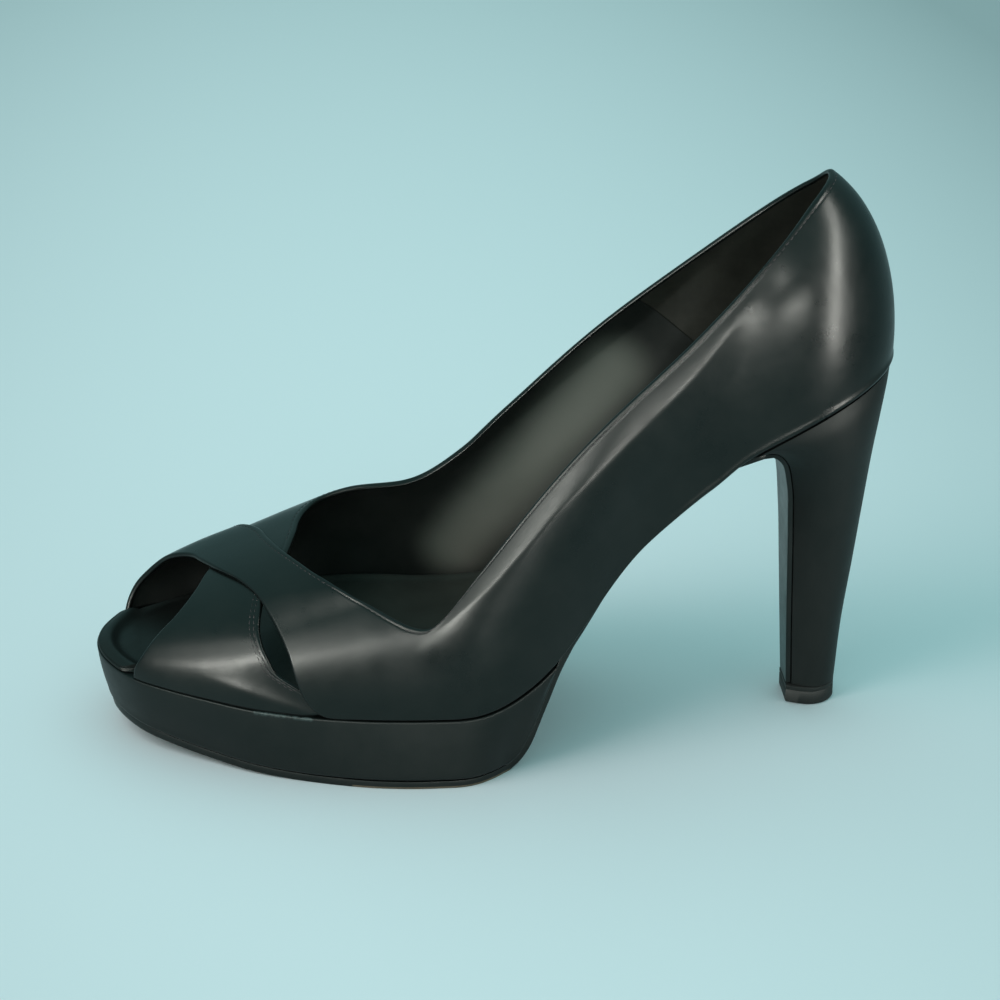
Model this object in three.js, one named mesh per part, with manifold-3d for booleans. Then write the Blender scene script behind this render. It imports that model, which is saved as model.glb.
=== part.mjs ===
// Peep toe pump, the left shoe of a pair, with crossed bands, a hidden platform and a high heel.
// It stands on the floor, toe toward -Y, outer side toward +X, +Z up. Sizes are in millimetres.

import * as THREE from 'three';
import { mergeVertices } from 'three/addons/utils/BufferGeometryUtils.js';
import Module from 'manifold-3d';

// Driving sizes
const shoeLength = 232;
const ballWidth = 86;
const seatWidth = 49.6;
const heelHeight = 112;
const platformHeight = 22;
const backHeight = 58;
const instepHeight = 52;
const toeSpring = 8;
const upperWall = 1.8;
const bandLift = 1.3;
const bandTuck = 0.3;
const outsoleThickness = 2.4;
const breastCoverThickness = 1.4;
const topPieceHeight = 6;
const tipWidth = 16;
const tipLength = 13.6;
const clearance = 0.3;

// Slope of the foot bed in degrees, by share of the length from the toe
const bedSlopeColumns = ['share', 'degrees'];
const bedSlopes = [
  [0.00, -3.2], [0.10, -2.6], [0.22, -2.2], [0.34, -1.2], [0.43, 1.5], [0.475, 10], [0.51, 22], [0.545, 34],
  [0.575, 45], [0.61, 53], [0.65, 52.5], [0.70, 43.5], [0.77, 36], [0.84, 29], [0.92, 23], [1.0, 20.5],
];

// Sections of the last by share of the length. Widths and the ridge's side shift are shares of the local
// width, which runs from the ball width to the seat width. Ridge heights are shares of the local height,
// which runs from the instep height to the back height. Roundness is the exponent of each side's curve.
const lastColumns = [
  'share', 'lateral', 'medial', 'ridge', 'shift', 'lateralRoundness', 'medialRoundness', 'lateralSwell',
  'medialSwell',
];
const lastSections = [
  [0.000, -0.093, -0.093, 0.12, -0.095, 2.2, 2.4, 0.000, 0.000],
  [0.012, 0.040, -0.218, 0.17, -0.099, 2.2, 2.4, 0.002, 0.002],
  [0.047, 0.168, -0.338, 0.30, -0.110, 2.2, 2.5, 0.006, 0.006],
  [0.086, 0.240, -0.372, 0.40, -0.118, 2.2, 2.6, 0.009, 0.009],
  [0.134, 0.310, -0.397, 0.50, -0.122, 2.2, 2.7, 0.012, 0.012],
  [0.190, 0.382, -0.420, 0.60, -0.115, 2.2, 2.8, 0.012, 0.012],
  [0.259, 0.436, -0.450, 0.735, -0.095, 2.2, 2.9, 0.012, 0.012],
  [0.328, 0.470, -0.475, 0.865, -0.070, 2.1, 2.9, 0.012, 0.012],
  [0.414, 0.497, -0.478, 1.00, -0.050, 2.05, 2.9, 0.012, 0.012],
  [0.478, 0.535, -0.495, 1.22, -0.038, 2.2, 2.8, 0.015, 0.015],
  [0.543, 0.519, -0.478, 1.42, -0.020, 2.4, 2.7, 0.035, 0.035],
  [0.608, 0.477, -0.443, 1.48, -0.010, 2.5, 2.7, 0.069, 0.062],
  [0.672, 0.452, -0.438, 1.38, 0.000, 2.5, 2.6, 0.086, 0.078],
  [0.737, 0.480, -0.472, 1.30, 0.000, 2.4, 2.5, 0.078, 0.078],
  [0.802, 0.490, -0.485, 1.26, 0.000, 2.3, 2.4, 0.060, 0.060],
  [0.8534, 0.500, -0.500, 1.28, 0.000, 2.3, 2.3, 0.050, 0.050],
  [0.920, 0.500, -0.500, 1.155, 0.000, 2.12, 2.12, 0.039, 0.039],
  [0.965, 0.500, -0.500, 1.095, 0.000, 2.02, 2.02, 0.033, 0.033],
  [1.000, 0.500, -0.500, 1.086, 0.000, 2.0, 2.0, 0.032, 0.032],
];

// Where the places on the last begin and end, as shares of the length
const ballShare = 0.414;
const waistShare = 0.608;
const seatShare = 0.75;
const heelTurnShare = 0.8534;
const toeTurnShare = 0.07;

// The over band and the lateral quarter: each row is one line across the strip, from its front or lower
// edge to its rear or upper edge. A place on the last is a share of the length and a girth share, which
// runs from -1 at the inner feather edge through 0 on the ridge to 1 at the outer feather edge.
const overColumns = ['frontShare', 'frontGirth', 'rearShare', 'rearGirth'];
const overStrip = [
  [0.034, -1.00, 0.195, -1.00], [0.040, -0.85, 0.187, -0.82], [0.050, -0.68, 0.181, -0.66],
  [0.066, -0.50, 0.180, -0.50], [0.084, -0.33, 0.185, -0.35], [0.102, -0.18, 0.194, -0.22],
  [0.122, -0.06, 0.207, -0.10], [0.145, 0.07, 0.223, 0.03], [0.160, 0.147, 0.241, 0.153],
  [0.184, 0.250, 0.270, 0.298], [0.200, 0.335, 0.290, 0.375], [0.209, 0.400, 0.306, 0.430],
  [0.218, 0.490, 0.324, 0.482], [0.227, 0.585, 0.341, 0.523], [0.236, 0.690, 0.358, 0.565],
  [0.242, 0.790, 0.375, 0.603], [0.249, 0.880, 0.392, 0.635], [0.260, 0.955, 0.410, 0.652],
  [0.280, 1.000, 0.427, 0.635], [0.325, 1.000, 0.449, 0.600], [0.380, 1.000, 0.471, 0.571],
  [0.435, 1.000, 0.492, 0.552], [0.480, 1.000, 0.515, 0.542], [0.522, 1.000, 0.541, 0.536],
  [0.560, 1.000, 0.570, 0.535], [0.598, 1.000, 0.598, 0.560], [0.632, 1.000, 0.632, 0.592],
  [0.670, 1.000, 0.670, 0.604], [0.709, 1.000, 0.709, 0.602], [0.747, 1.000, 0.747, 0.588],
  [0.780, 1.000, 0.780, 0.543], [0.816, 1.000, 0.816, 0.488], [0.8534, 1.000, 0.8534, 0.410],
  [0.880, 1.000, 0.880, 0.356], [0.915, 1.000, 0.915, 0.301], [0.955, 1.000, 0.955, 0.268],
  [1.000, 1.000, 1.000, 0.259],
];

// The under band and the medial quarter, in the same columns
const underStrip = [
  [0.043, 1.00, 0.300, 1.00], [0.045, 0.88, 0.256, 0.90], [0.052, 0.762, 0.222, 0.80],
  [0.065, 0.607, 0.212, 0.715], [0.081, 0.482, 0.205, 0.62], [0.098, 0.390, 0.203, 0.53],
  [0.114, 0.295, 0.206, 0.44], [0.128, 0.205, 0.212, 0.355], [0.139, 0.120, 0.225, 0.260],
  [0.152, 0.040, 0.241, 0.153], [0.165, -0.06, 0.254, 0.03], [0.178, -0.17, 0.268, -0.10],
  [0.190, -0.28, 0.287, -0.225], [0.200, -0.41, 0.315, -0.335], [0.210, -0.54, 0.352, -0.430],
  [0.222, -0.67, 0.393, -0.500], [0.237, -0.84, 0.427, -0.537], [0.258, -1.000, 0.450, -0.550],
  [0.310, -1.000, 0.470, -0.552], [0.370, -1.000, 0.489, -0.548], [0.430, -1.000, 0.507, -0.540],
  [0.480, -1.000, 0.528, -0.537], [0.530, -1.000, 0.557, -0.552], [0.580, -1.000, 0.592, -0.573],
  [0.620, -1.000, 0.622, -0.587], [0.651, -1.000, 0.651, -0.593], [0.683, -1.000, 0.683, -0.596],
  [0.714, -1.000, 0.714, -0.592], [0.745, -1.000, 0.745, -0.578], [0.780, -1.000, 0.780, -0.556],
  [0.816, -1.000, 0.816, -0.533], [0.8534, -1.000, 0.8534, -0.496], [0.880, -1.000, 0.880, -0.456],
  [0.915, -1.000, 0.915, -0.382], [0.955, -1.000, 0.955, -0.296], [1.000, -1.000, 1.000, -0.259],
];

// Rows of the over strip between which it climbs over the under band and comes down again
const liftRows = { start: 2.6, full: 5.2, stillFull: 10.6, end: 13.0 };
// Rows of the under strip over which its tuck below the over band fades out
const tuckRows = { full: 17, none: 21 };

// Rear face of the platform: share of its run, share of its rise
const platformRear = { start: 0.509, end: 0.593, wedgeEnd: 0.566 };
const rearColumns = ['run', 'rise'];
const rearCurve = [[0, 0], [0.15, 0.06], [0.32, 0.20], [0.54, 0.50], [0.77, 0.80], [1, 1]];
const springEnd = 0.28;
// How far the platform's wall leans in at its foot, by share of the length
const leanColumns = ['share', 'inset'];
const leanInsets = [
  [0, 2.4], [0.08, 3.2], [0.17, 2.4], [0.26, 0.9], [0.31, -0.3], [0.36, -1.2], [0.42, -1.5], [0.46, -0.5],
  [0.49, 1.6], [0.51, 3.2], [0.54, 1.6], [0.58, 0.8],
];
// How much further in the outsole's edge lies
const marginColumns = ['share', 'margin'];
const outsoleMargins = [[0, 1.0], [0.24, 0.9], [0.34, 0.5], [0.40, 0.5], [0.49, 1.0], [0.54, 2.2], [0.60, 2.2]];
// Thickness of the insole with its padding, from the thin lip at the toe to the seat
const paddingColumns = ['share', 'thickness'];
const padding = [
  [0, 1.0], [0.045, 1.3], [0.09, 2.6], [0.14, 3.8], [0.22, 4.8], [0.32, 5.0], [0.42, 4.0], [0.55, 3.0], [1, 3.0],
];
const steepest = 2.1;

// Half widths of the outsole under the shank, as shares of the local width
const shankColumns = ['share', 'half'];
const shankWidths = [[0.56, 0.470], [0.60, 0.395], [0.64, 0.335], [0.70, 0.320], [0.76, 0.330], [0.81, 0.370]];

// The heel by share of its height. Breast and back are places along the length in millimetres behind the
// back of the seat, given as shares of the seat's length. Widths are shares of seat and tip widths.
const heelColumns = ['height', 'breast', 'back', 'corner', 'half', 'widest'];
const heelSections = [
  [0.00, 1.00, 1.00, 0.68, 0.00, 0.50],
  [0.20, 0.955, 0.885, 0.65, 0.115, 0.48],
  [0.40, 0.915, 0.680, 0.62, 0.265, 0.45],
  [0.60, 0.870, 0.485, 0.59, 0.455, 0.42],
  [0.75, 0.800, 0.335, 0.60, 0.645, 0.40],
  [0.87, 0.615, 0.180, 0.68, 0.845, 0.36],
  [0.95, 0.310, 0.060, 0.82, 0.960, 0.28],
  [1.00, 0.00, 0.00, 0.985, 1.00, 0.19],
];
const breastLead = 41.6;
const tipSetForward = 12.2;

// Mesh steps
const stripSteps = 2;
const acrossSteps = 9;
const slopeSteps = 240;

function cubic(table, column, at) {
  const last = table.length - 1;
  const x = (i) => table[i][0];
  const y = (i) => table[i][column];
  const t = Math.min(Math.max(at, x(0)), x(last));
  let i = 0;
  while (i < last - 1 && t > x(i + 1)) i += 1;
  const tangent = (k) => {
    if (k === 0) return (y(1) - y(0)) / (x(1) - x(0));
    if (k === last) return (y(last) - y(last - 1)) / (x(last) - x(last - 1));
    const before = x(k) - x(k - 1);
    const after = x(k + 1) - x(k);
    return (before ** 2 * y(k + 1) + (after ** 2 - before ** 2) * y(k) - after ** 2 * y(k - 1))
      / (before * after * (before + after));
  };
  const h = x(i + 1) - x(i);
  const u = (t - x(i)) / h;
  return (2 * u ** 3 - 3 * u ** 2 + 1) * y(i) + (u ** 3 - 2 * u ** 2 + u) * h * tangent(i)
    + (3 * u ** 2 - 2 * u ** 3) * y(i + 1) + (u ** 3 - u ** 2) * h * tangent(i + 1);
}

function read(table, columns, name, at) {
  return cubic(table, columns.indexOf(name), at);
}

function ramp(at, from, to) {
  const t = Math.min(Math.max((at - from) / (to - from), 0), 1);
  return t * t * (3 - 2 * t);
}

function mix(a, b, t) {
  return a + (b - a) * t;
}

// Height of the foot bed above the floor, summed once from its slopes
const bedHeights = [0];
for (let i = 0; i < slopeSteps; i += 1) {
  const degrees = read(bedSlopes, bedSlopeColumns, 'degrees', (i + 0.5) / slopeSteps);
  bedHeights.push(bedHeights[i] + Math.tan(THREE.MathUtils.degToRad(degrees)) * shoeLength / slopeSteps);
}

function bedSum(share) {
  const at = Math.min(Math.max(share, 0), 1) * slopeSteps;
  const i = Math.min(Math.floor(at), slopeSteps - 1);
  return mix(bedHeights[i], bedHeights[i + 1], at - i);
}

function bed(share) {
  const rise = bedSum(share) - bedSum(ballShare);
  const steepness = (heelHeight - platformHeight) / (bedSum(1) - bedSum(ballShare));
  return platformHeight + (share > ballShare ? rise * steepness : rise);
}

function along(share) {
  return (share - 0.5) * shoeLength;
}

function shareAt(y) {
  return y / shoeLength + 0.5;
}

function localWidth(share) {
  const t = Math.min(Math.max((share - ballShare) / (seatShare - ballShare), 0), 1);
  return mix(ballWidth, seatWidth, t);
}

function localHeight(share) {
  const t = Math.min(Math.max((share - ballShare) / (waistShare - ballShare), 0), 1);
  return mix(instepHeight, backHeight, t);
}

const heelTurn = along(heelTurnShare);
const heelReach = shoeLength / 2 - heelTurn;

// The side edges of the last are read against the root of the share, which rounds the toe
const rootSections = lastSections.map(([share, ...rest]) => [Math.sqrt(share), ...rest]);

function plainEdge(side, share) {
  const name = side > 0 ? 'lateral' : 'medial';
  return read(rootSections, lastColumns, name, Math.sqrt(Math.max(share, 0))) * localWidth(share);
}

// Side edge of the last at its feather line. The inset draws it in, by as much all round.
function edge(side, share, inset = 0) {
  const y = along(share);
  if (y > heelTurn) {
    const out = Math.min((y - heelTurn) / (heelReach - inset), 1);
    return (plainEdge(side, heelTurnShare) - side * inset) * Math.sqrt(1 - out ** 2);
  }
  if (inset === 0) return plainEdge(side, share);
  const moved = (root) => {
    const step = 0.002;
    const from = Math.max(root - step, 0);
    const dx = plainEdge(side, (root + step) ** 2) - plainEdge(side, from ** 2);
    const dy = ((root + step) ** 2 - from ** 2) * shoeLength;
    const size = Math.hypot(dx, dy);
    return {
      x: plainEdge(side, root ** 2) - side * inset * dy / size,
      y: along(root ** 2) + side * inset * dx / size,
    };
  };
  let [low, high] = [0, Math.sqrt(share + Math.abs(inset) / shoeLength)];
  for (let i = 0; i < 24; i += 1) {
    const middle = (low + high) / 2;
    if (moved(middle).y < y) low = middle;
    else high = middle;
  }
  return moved(high).x;
}

// A point on the outside of the last, by share of the length and girth share
function skin(share, girth) {
  if (share > 1) return skin(2 - share, -girth);
  const side = girth < 0 ? -1 : 1;
  const sideName = side > 0 ? 'lateral' : 'medial';
  const up = 1 - Math.min(Math.abs(girth), 1);
  const angle = up * Math.PI / 2;
  const roundness = read(lastSections, lastColumns, `${sideName}Roundness`, share);
  const flat = Math.max(Math.cos(angle), 0) ** (2 / roundness);
  const high = Math.sin(angle) ** (2 / roundness);
  const swell = read(lastSections, lastColumns, `${sideName}Swell`, share) * localWidth(share)
    * Math.sin(Math.PI * up ** 0.8);
  const turn = Math.min(Math.max((share - heelTurnShare) / (1 - heelTurnShare), 0), 1) * Math.PI / 2;
  const heel = share > heelTurnShare;
  const footX = heel ? plainEdge(side, heelTurnShare) * Math.cos(turn) : plainEdge(side, share);
  const footY = heel ? heelTurn + heelReach * Math.sin(turn) : along(share);
  const ridgeX = read(lastSections, lastColumns, 'shift', share) * localWidth(share);
  const ridgeY = heel ? heelTurn : footY;
  const rise = read(lastSections, lastColumns, 'ridge', share) * localHeight(share);
  return new THREE.Vector3(
    ridgeX + (footX - ridgeX) * flat + side * Math.cos(turn) * swell,
    ridgeY + (footY - ridgeY) * flat + Math.sin(turn) * swell,
    bed(shareAt(footY)) + rise * high,
  );
}

function skinNormal(share, girth) {
  const step = 0.004;
  const dShare = skin(share + step, girth).sub(skin(share - step, girth));
  const dGirth = skin(share, girth + step).sub(skin(share, girth - step));
  return dGirth.cross(dShare).normalize();
}

// A closed body through a row of loops. Each loop goes out along one face and back along the other.
function loft(loops) {
  const count = loops[0].length;
  const points = loops.flat();
  const index = [];
  for (let i = 0; i < loops.length - 1; i += 1) {
    for (let j = 0; j < count; j += 1) {
      const a = i * count + j;
      const b = i * count + (j + 1) % count;
      index.push(a, b, b + count, a, b + count, a + count);
    }
  }
  const last = (loops.length - 1) * count;
  for (let j = 0; j < count / 2 - 1; j += 1) {
    const opposite = count - 1 - j;
    index.push(j + 1, j, opposite, j + 1, opposite, opposite - 1);
    index.push(last + j, last + j + 1, last + opposite, last + j + 1, last + opposite - 1, last + opposite);
  }
  let volume = 0;
  for (let k = 0; k < index.length; k += 3) {
    const [a, b, c] = [points[index[k]], points[index[k + 1]], points[index[k + 2]]];
    volume += a.dot(new THREE.Vector3().crossVectors(b, c));
  }
  if (volume < 0) index.reverse();
  const geometry = new THREE.BufferGeometry();
  geometry.setAttribute('position', new THREE.Float32BufferAttribute(points.flatMap((p) => [p.x, p.y, p.z]), 3));
  geometry.setIndex(index);
  return mergeVertices(geometry, 1e-4);
}

const wasm = await Module();
wasm.setup();

function solid(geometry) {
  return new wasm.Manifold(new wasm.Mesh({
    numProp: 3,
    vertProperties: new Float32Array(geometry.attributes.position.array),
    triVerts: new Uint32Array(geometry.index.array),
  }));
}

function fromSolid(body) {
  const mesh = body.getMesh();
  const geometry = new THREE.BufferGeometry();
  geometry.setAttribute('position', new THREE.Float32BufferAttribute(mesh.vertProperties, 3));
  geometry.setIndex([...mesh.triVerts]);
  return geometry;
}

// A strip of the upper between its two edges. The offset lifts its outer face off the last.
function strip(rows, offsetAt) {
  const numbered = rows.map((row, i) => [i, ...row]);
  const loops = [];
  const steps = (rows.length - 1) * stripSteps;
  for (let i = 0; i <= steps; i += 1) {
    const at = i / stripSteps;
    const value = (name) => cubic(numbered, 1 + overColumns.indexOf(name), at);
    const outer = [];
    const inner = [];
    for (let j = 0; j < acrossSteps; j += 1) {
      const t = j / (acrossSteps - 1);
      const share = mix(value('frontShare'), value('rearShare'), t);
      const girth = mix(value('frontGirth'), value('rearGirth'), t);
      const normal = skinNormal(share, girth);
      const point = skin(share, girth);
      if (share === 1) normal.x = point.x = 0;
      outer.push(point.clone().addScaledVector(normal, offsetAt(at)));
      inner.push(point.clone().addScaledVector(normal, offsetAt(at) - upperWall));
    }
    loops.push([...outer, ...inner.reverse()]);
  }
  return loft(loops);
}

function makeUpper() {
  const lift = (row) => bandLift * ramp(row, liftRows.start, liftRows.full)
    * (1 - ramp(row, liftRows.stillFull, liftRows.end));
  const tuck = (row) => -bandTuck * (1 - ramp(row, tuckRows.full, tuckRows.none));
  return fromSolid(solid(strip(overStrip, lift)).add(solid(strip(underStrip, tuck))));
}

// Shares of the length for the rows of a piece, closer together round the toe and the heel
function rowShares(from, to, inset, straightSteps, turnSteps) {
  const shares = [];
  const tip = inset / shoeLength;
  for (let i = 0; from < toeTurnShare && i < turnSteps; i += 1) {
    shares.push(tip + (toeTurnShare - tip) * (Math.max(i, 0.2) / turnSteps) ** 2);
  }
  const start = Math.max(from, toeTurnShare);
  const end = Math.min(to, heelTurnShare);
  for (let i = 0; i <= straightSteps; i += 1) shares.push(mix(start, end, i / straightSteps));
  for (let i = turnSteps - 1; to > heelTurnShare && i >= 0; i -= 1) {
    const out = Math.sin(Math.PI / 2 * (1 - (i + 0.25) / turnSteps));
    shares.push(heelTurnShare + out * (heelReach - inset) / shoeLength);
  }
  return shares;
}

// One row across a slab: its upper face from the inner to the outer side, then its lower face back
function slabLoop(y, upperEdges, lowerEdges, upperZ, lowerZ, across, lowerY = y) {
  const upper = [];
  const lower = [];
  for (let j = 0; j <= across; j += 1) {
    const t = j / across;
    upper.push(new THREE.Vector3(mix(upperEdges[0], upperEdges[1], t), y, upperZ(t)));
    lower.push(new THREE.Vector3(mix(lowerEdges[0], lowerEdges[1], t), lowerY, lowerZ(t)));
  }
  return [...upper, ...lower.reverse()];
}

// The insole fills the inside of the upper and comes out to the platform's edge at the open toe
function makeInsole() {
  const lipInset = 0.6;
  const lipEnd = 0.016;
  const tuckedFrom = 0.030;
  const lean = 1.3;
  const leanStart = 0.08;
  const leanEnd = 0.25;
  const floorGap = 0.2;
  const tucked = upperWall + 2 * clearance;
  const loops = rowShares(0, 1, lipInset, 26, 8).map((share, i, rows) => {
    const heelEnd = share > heelTurnShare;
    const t = ramp(share, lipEnd, tuckedFrom);
    const inset = mix(lipInset, tucked, t);
    const top = inset + lean * t * (1 - ramp(share, leanStart, leanEnd));
    const floor = bed(share) + floorGap;
    const thickness = read(padding, paddingColumns, 'thickness', share);
    const y = heelEnd
      ? mix(heelTurn, shoeLength / 2 - tucked, (share - heelTurnShare) / (rows.at(-1) - heelTurnShare))
      : along(share);
    const edges = (own) => [edge(-1, shareAt(y), own), edge(1, shareAt(y), own)];
    return slabLoop(y, edges(top), edges(inset), () => floor + thickness, () => floor, 4);
  });
  return loft(loops);
}

function springHeight(share) {
  return toeSpring * Math.max(1 - share / springEnd, 0) ** 2;
}

// How much a layer of a given thickness measures straight up, where it lies on a slope
function upright(thickness, share) {
  const step = 0.004;
  const slope = (underside(share + step) - underside(share - step)) / (2 * step * shoeLength);
  return thickness * Math.min(Math.hypot(1, slope), steepest);
}

function shankUnderside(share) {
  const step = 0.004;
  const slope = (bed(share + step) - bed(share - step)) / (2 * step * shoeLength);
  return bed(share) - (outsoleThickness + 2 * clearance) * Math.hypot(1, slope);
}

// The lowest line of the shoe in side view: floor, rear of the platform, shank
function underside(share) {
  if (share < platformRear.start) return springHeight(share);
  if (share > platformRear.end) return shankUnderside(share);
  const run = (share - platformRear.start) / (platformRear.end - platformRear.start);
  return read(rearCurve, rearColumns, 'rise', run) * shankUnderside(platformRear.end);
}

function makePlatform() {
  const cornerHeight = 1.6;
  const cornerInset = 1.2;
  const middle = [0.75, 0.5, 0.25];
  const loops = rowShares(0, platformRear.wedgeEnd, 0, 24, 9).map((share, i) => {
    const slope = (bed(share + 0.004) - bed(share)) / 0.004 / shoeLength;
    const top = bed(share) - clearance * Math.hypot(1, slope);
    const bottom = underside(share) + upright(outsoleThickness + clearance, share);
    const corner = bottom + Math.min(cornerHeight, (top - bottom) / 3);
    const lean = read(leanInsets, leanColumns, 'inset', share);
    const y = along(share);
    const row = (inset, z) => {
      const shifted = y + inset * (1 - ramp(share, 0, toeTurnShare * 1.6));
      const at = (side) => (i === 0 ? edge(side, share) : edge(side, shareAt(shifted), inset));
      return [-1, 1].map((side) => new THREE.Vector3(at(side), shifted, z));
    };
    const [upperLeft, upperRight] = row(0, top);
    const [cornerLeft, cornerRight] = row(lean, corner);
    const [lowerLeft, lowerRight] = row(lean + cornerInset, bottom);
    const upper = [0.25, 0.5, 0.75].map((t) => upperLeft.clone().lerp(upperRight, t));
    const lower = middle.map((t) => lowerLeft.clone().lerp(lowerRight, t));
    return [cornerLeft, upperLeft, ...upper, upperRight, cornerRight, lowerRight, ...lower, lowerLeft];
  });
  return loft(loops);
}

// Plan of the heel at a share of its height
function heelSection(height) {
  const value = (name) => read(heelSections, heelColumns, name, height);
  const seatBack = shoeLength / 2 - 0.3;
  const seatFront = seatBack - breastLead;
  const tipBack = shoeLength / 2 - tipSetForward;
  const tipFront = tipBack - tipLength;
  return {
    front: mix(seatFront, tipFront, value('breast')),
    back: mix(seatBack, tipBack, value('back')),
    half: mix(tipWidth, seatWidth, value('half')) / 2,
    corner: value('corner'),
    widest: value('widest'),
  };
}

// Half loop of the heel's plan, from the middle of its flat breast round to its back
function heelPlan(section, inset = 0) {
  const { front, back, half, corner, widest } = section;
  const sideSteps = 9;
  const points = [];
  for (let i = 0; i <= sideSteps; i += 1) {
    const t = (1 - Math.cos(Math.PI * i / sideSteps)) / 2;
    const open = t < widest
      ? mix(corner, 1, Math.sin(Math.PI / 2 * t / widest))
      : Math.sqrt(Math.max(1 - ((t - widest) / (1 - widest)) ** 2, 0.0004));
    points.push([Math.max(half * open - inset, 0.15), mix(front + inset, back - inset, t)]);
  }
  return points;
}

function heelLoop(section, heightAt, inset = 0) {
  const plan = heelPlan(section, inset);
  const lateral = plan.map(([x, y]) => new THREE.Vector3(x, y, heightAt(y)));
  const medial = plan.map(([x, y]) => new THREE.Vector3(-x, y, heightAt(y)));
  return [...lateral, ...medial.reverse()];
}

function seatHeight(y) {
  return bed(shareAt(y)) - clearance;
}

function makeHeel() {
  const base = topPieceHeight + clearance;
  const levels = [0, 0.1, 0.2, 0.3, 0.4, 0.5, 0.6, 0.68, 0.75, 0.81, 0.87, 0.91, 0.95, 0.98, 1];
  return loft(levels.map((height) => heelLoop(
    heelSection(height), (y) => mix(base, seatHeight(y), height))));
}

function makeTopPiece() {
  const section = heelSection(0);
  section.front -= clearance + breastCoverThickness;
  const edgeRound = 0.5;
  return loft([
    heelLoop(section, () => 0, edgeRound),
    heelLoop(section, () => edgeRound),
    heelLoop(section, () => topPieceHeight),
  ]);
}

// The outsole: one sheet under the platform, up the shank and down the breast of the heel
function makeOutsole() {
  const inset = (share) => read(outsoleMargins, marginColumns, 'margin', share)
    + read(leanInsets, leanColumns, 'inset', share);
  const loops = [];
  const sheetRow = (share, edges) => {
    const z = underside(share);
    const top = z + upright(outsoleThickness, share);
    loops.push(slabLoop(along(share), edges, edges, () => top, () => z, 4));
  };
  for (const share of rowShares(0, platformRear.start, inset(0), 16, 8)) {
    sheetRow(share, [edge(-1, share, inset(share)), edge(1, share, inset(share))]);
  }
  const narrowFrom = 0.535;
  const shankEnd = 0.795;
  const shankSteps = 26;
  for (let i = 1; i <= shankSteps; i += 1) {
    const share = mix(platformRear.start, shankEnd, i / shankSteps);
    const half = read(shankWidths, shankColumns, 'half', share) * localWidth(share);
    const t = ramp(share, narrowFrom, 0.6);
    sheetRow(share, [mix(edge(-1, share, inset(share)), -half, t), mix(edge(1, share, inset(share)), half, t)]);
  }
  const coverEnd = 0.004;
  const coverStart = 0.975;
  const coverSteps = 16;
  const base = topPieceHeight + clearance;
  const breast = (height) => {
    const { front, half, corner } = heelSection(height);
    return { y: front, z: mix(base, seatHeight(front), height), half: half * corner };
  };
  for (let i = 0; i <= coverSteps; i += 1) {
    const height = mix(coverStart, coverEnd, (i / coverSteps) ** 0.75);
    const here = breast(height);
    const above = breast(Math.min(height + 0.01, 1));
    const below = breast(height - 0.01);
    const slopeY = below.y - above.y;
    const slopeZ = below.z - above.z;
    const size = Math.hypot(slopeY, slopeZ);
    const [outY, outZ] = [slopeZ / size, -slopeY / size];
    const near = clearance;
    const far = near + breastCoverThickness;
    const half = here.half - clearance;
    loops.push(slabLoop(here.y + outY * near, [-half, half], [-half, half],
      () => here.z + outZ * near, () => here.z + outZ * far, 4, here.y + outY * far));
  }
  return loft(loops);
}

const colours = { leather: 0x17181a, lining: 0x221f1c, soleLeather: 0x1d1b1a, rubber: 0x121212 };

function material(colour, roughness) {
  return new THREE.MeshStandardMaterial({ color: colour, roughness, metalness: 0 });
}

function part(name, geometry, colour, roughness) {
  const mesh = new THREE.Mesh(geometry, material(colour, roughness));
  mesh.name = name;
  return mesh;
}

const shoe = new THREE.Group();
shoe.add(
  part('upper', makeUpper(), colours.leather, 0.35),
  part('insole', makeInsole(), colours.lining, 0.6),
  part('platform', makePlatform(), colours.leather, 0.4),
  part('outsole', makeOutsole(), colours.soleLeather, 0.6),
  part('heel', makeHeel(), colours.leather, 0.35),
  part('top_piece', makeTopPiece(), colours.rubber, 0.7),
);

export default shoe;
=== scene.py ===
import math

import bmesh
import bpy
import numpy as np
from mathutils import Matrix, Vector


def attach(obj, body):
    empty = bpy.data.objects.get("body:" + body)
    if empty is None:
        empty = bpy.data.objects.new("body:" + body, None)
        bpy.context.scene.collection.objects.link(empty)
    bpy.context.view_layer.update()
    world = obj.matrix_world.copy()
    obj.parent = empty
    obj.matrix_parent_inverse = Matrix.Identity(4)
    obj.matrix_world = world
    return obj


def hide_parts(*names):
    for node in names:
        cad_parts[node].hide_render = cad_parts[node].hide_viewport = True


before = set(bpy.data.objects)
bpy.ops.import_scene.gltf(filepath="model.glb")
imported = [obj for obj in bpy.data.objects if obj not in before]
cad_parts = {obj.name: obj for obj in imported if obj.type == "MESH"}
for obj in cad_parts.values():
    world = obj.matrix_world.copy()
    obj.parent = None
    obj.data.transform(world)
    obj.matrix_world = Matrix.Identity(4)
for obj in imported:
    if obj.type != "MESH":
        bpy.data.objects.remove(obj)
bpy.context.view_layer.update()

# Sizes in millimetres, the same as the source's
MM = 0.001
SHOE_LENGTH = 232.0
BALL_WIDTH = 86.0
SEAT_WIDTH = 49.6
HEEL_HEIGHT = 112.0
PLATFORM_HEIGHT = 22.0
BACK_HEIGHT = 58.0
INSTEP_HEIGHT = 52.0
TOE_SPRING = 8.0
WALL = 1.8
BAND_LIFT = 1.3
BAND_TUCK = 0.3
OUTSOLE_THICKNESS = 2.4
COVER_THICKNESS = 1.4
TOP_PIECE_HEIGHT = 6.0
TIP_WIDTH = 16.0
TIP_LENGTH = 13.6
CLEARANCE = 0.3

BALL = 0.414
WAIST = 0.608
SEAT = 0.75
TURN = 0.8534

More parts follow.
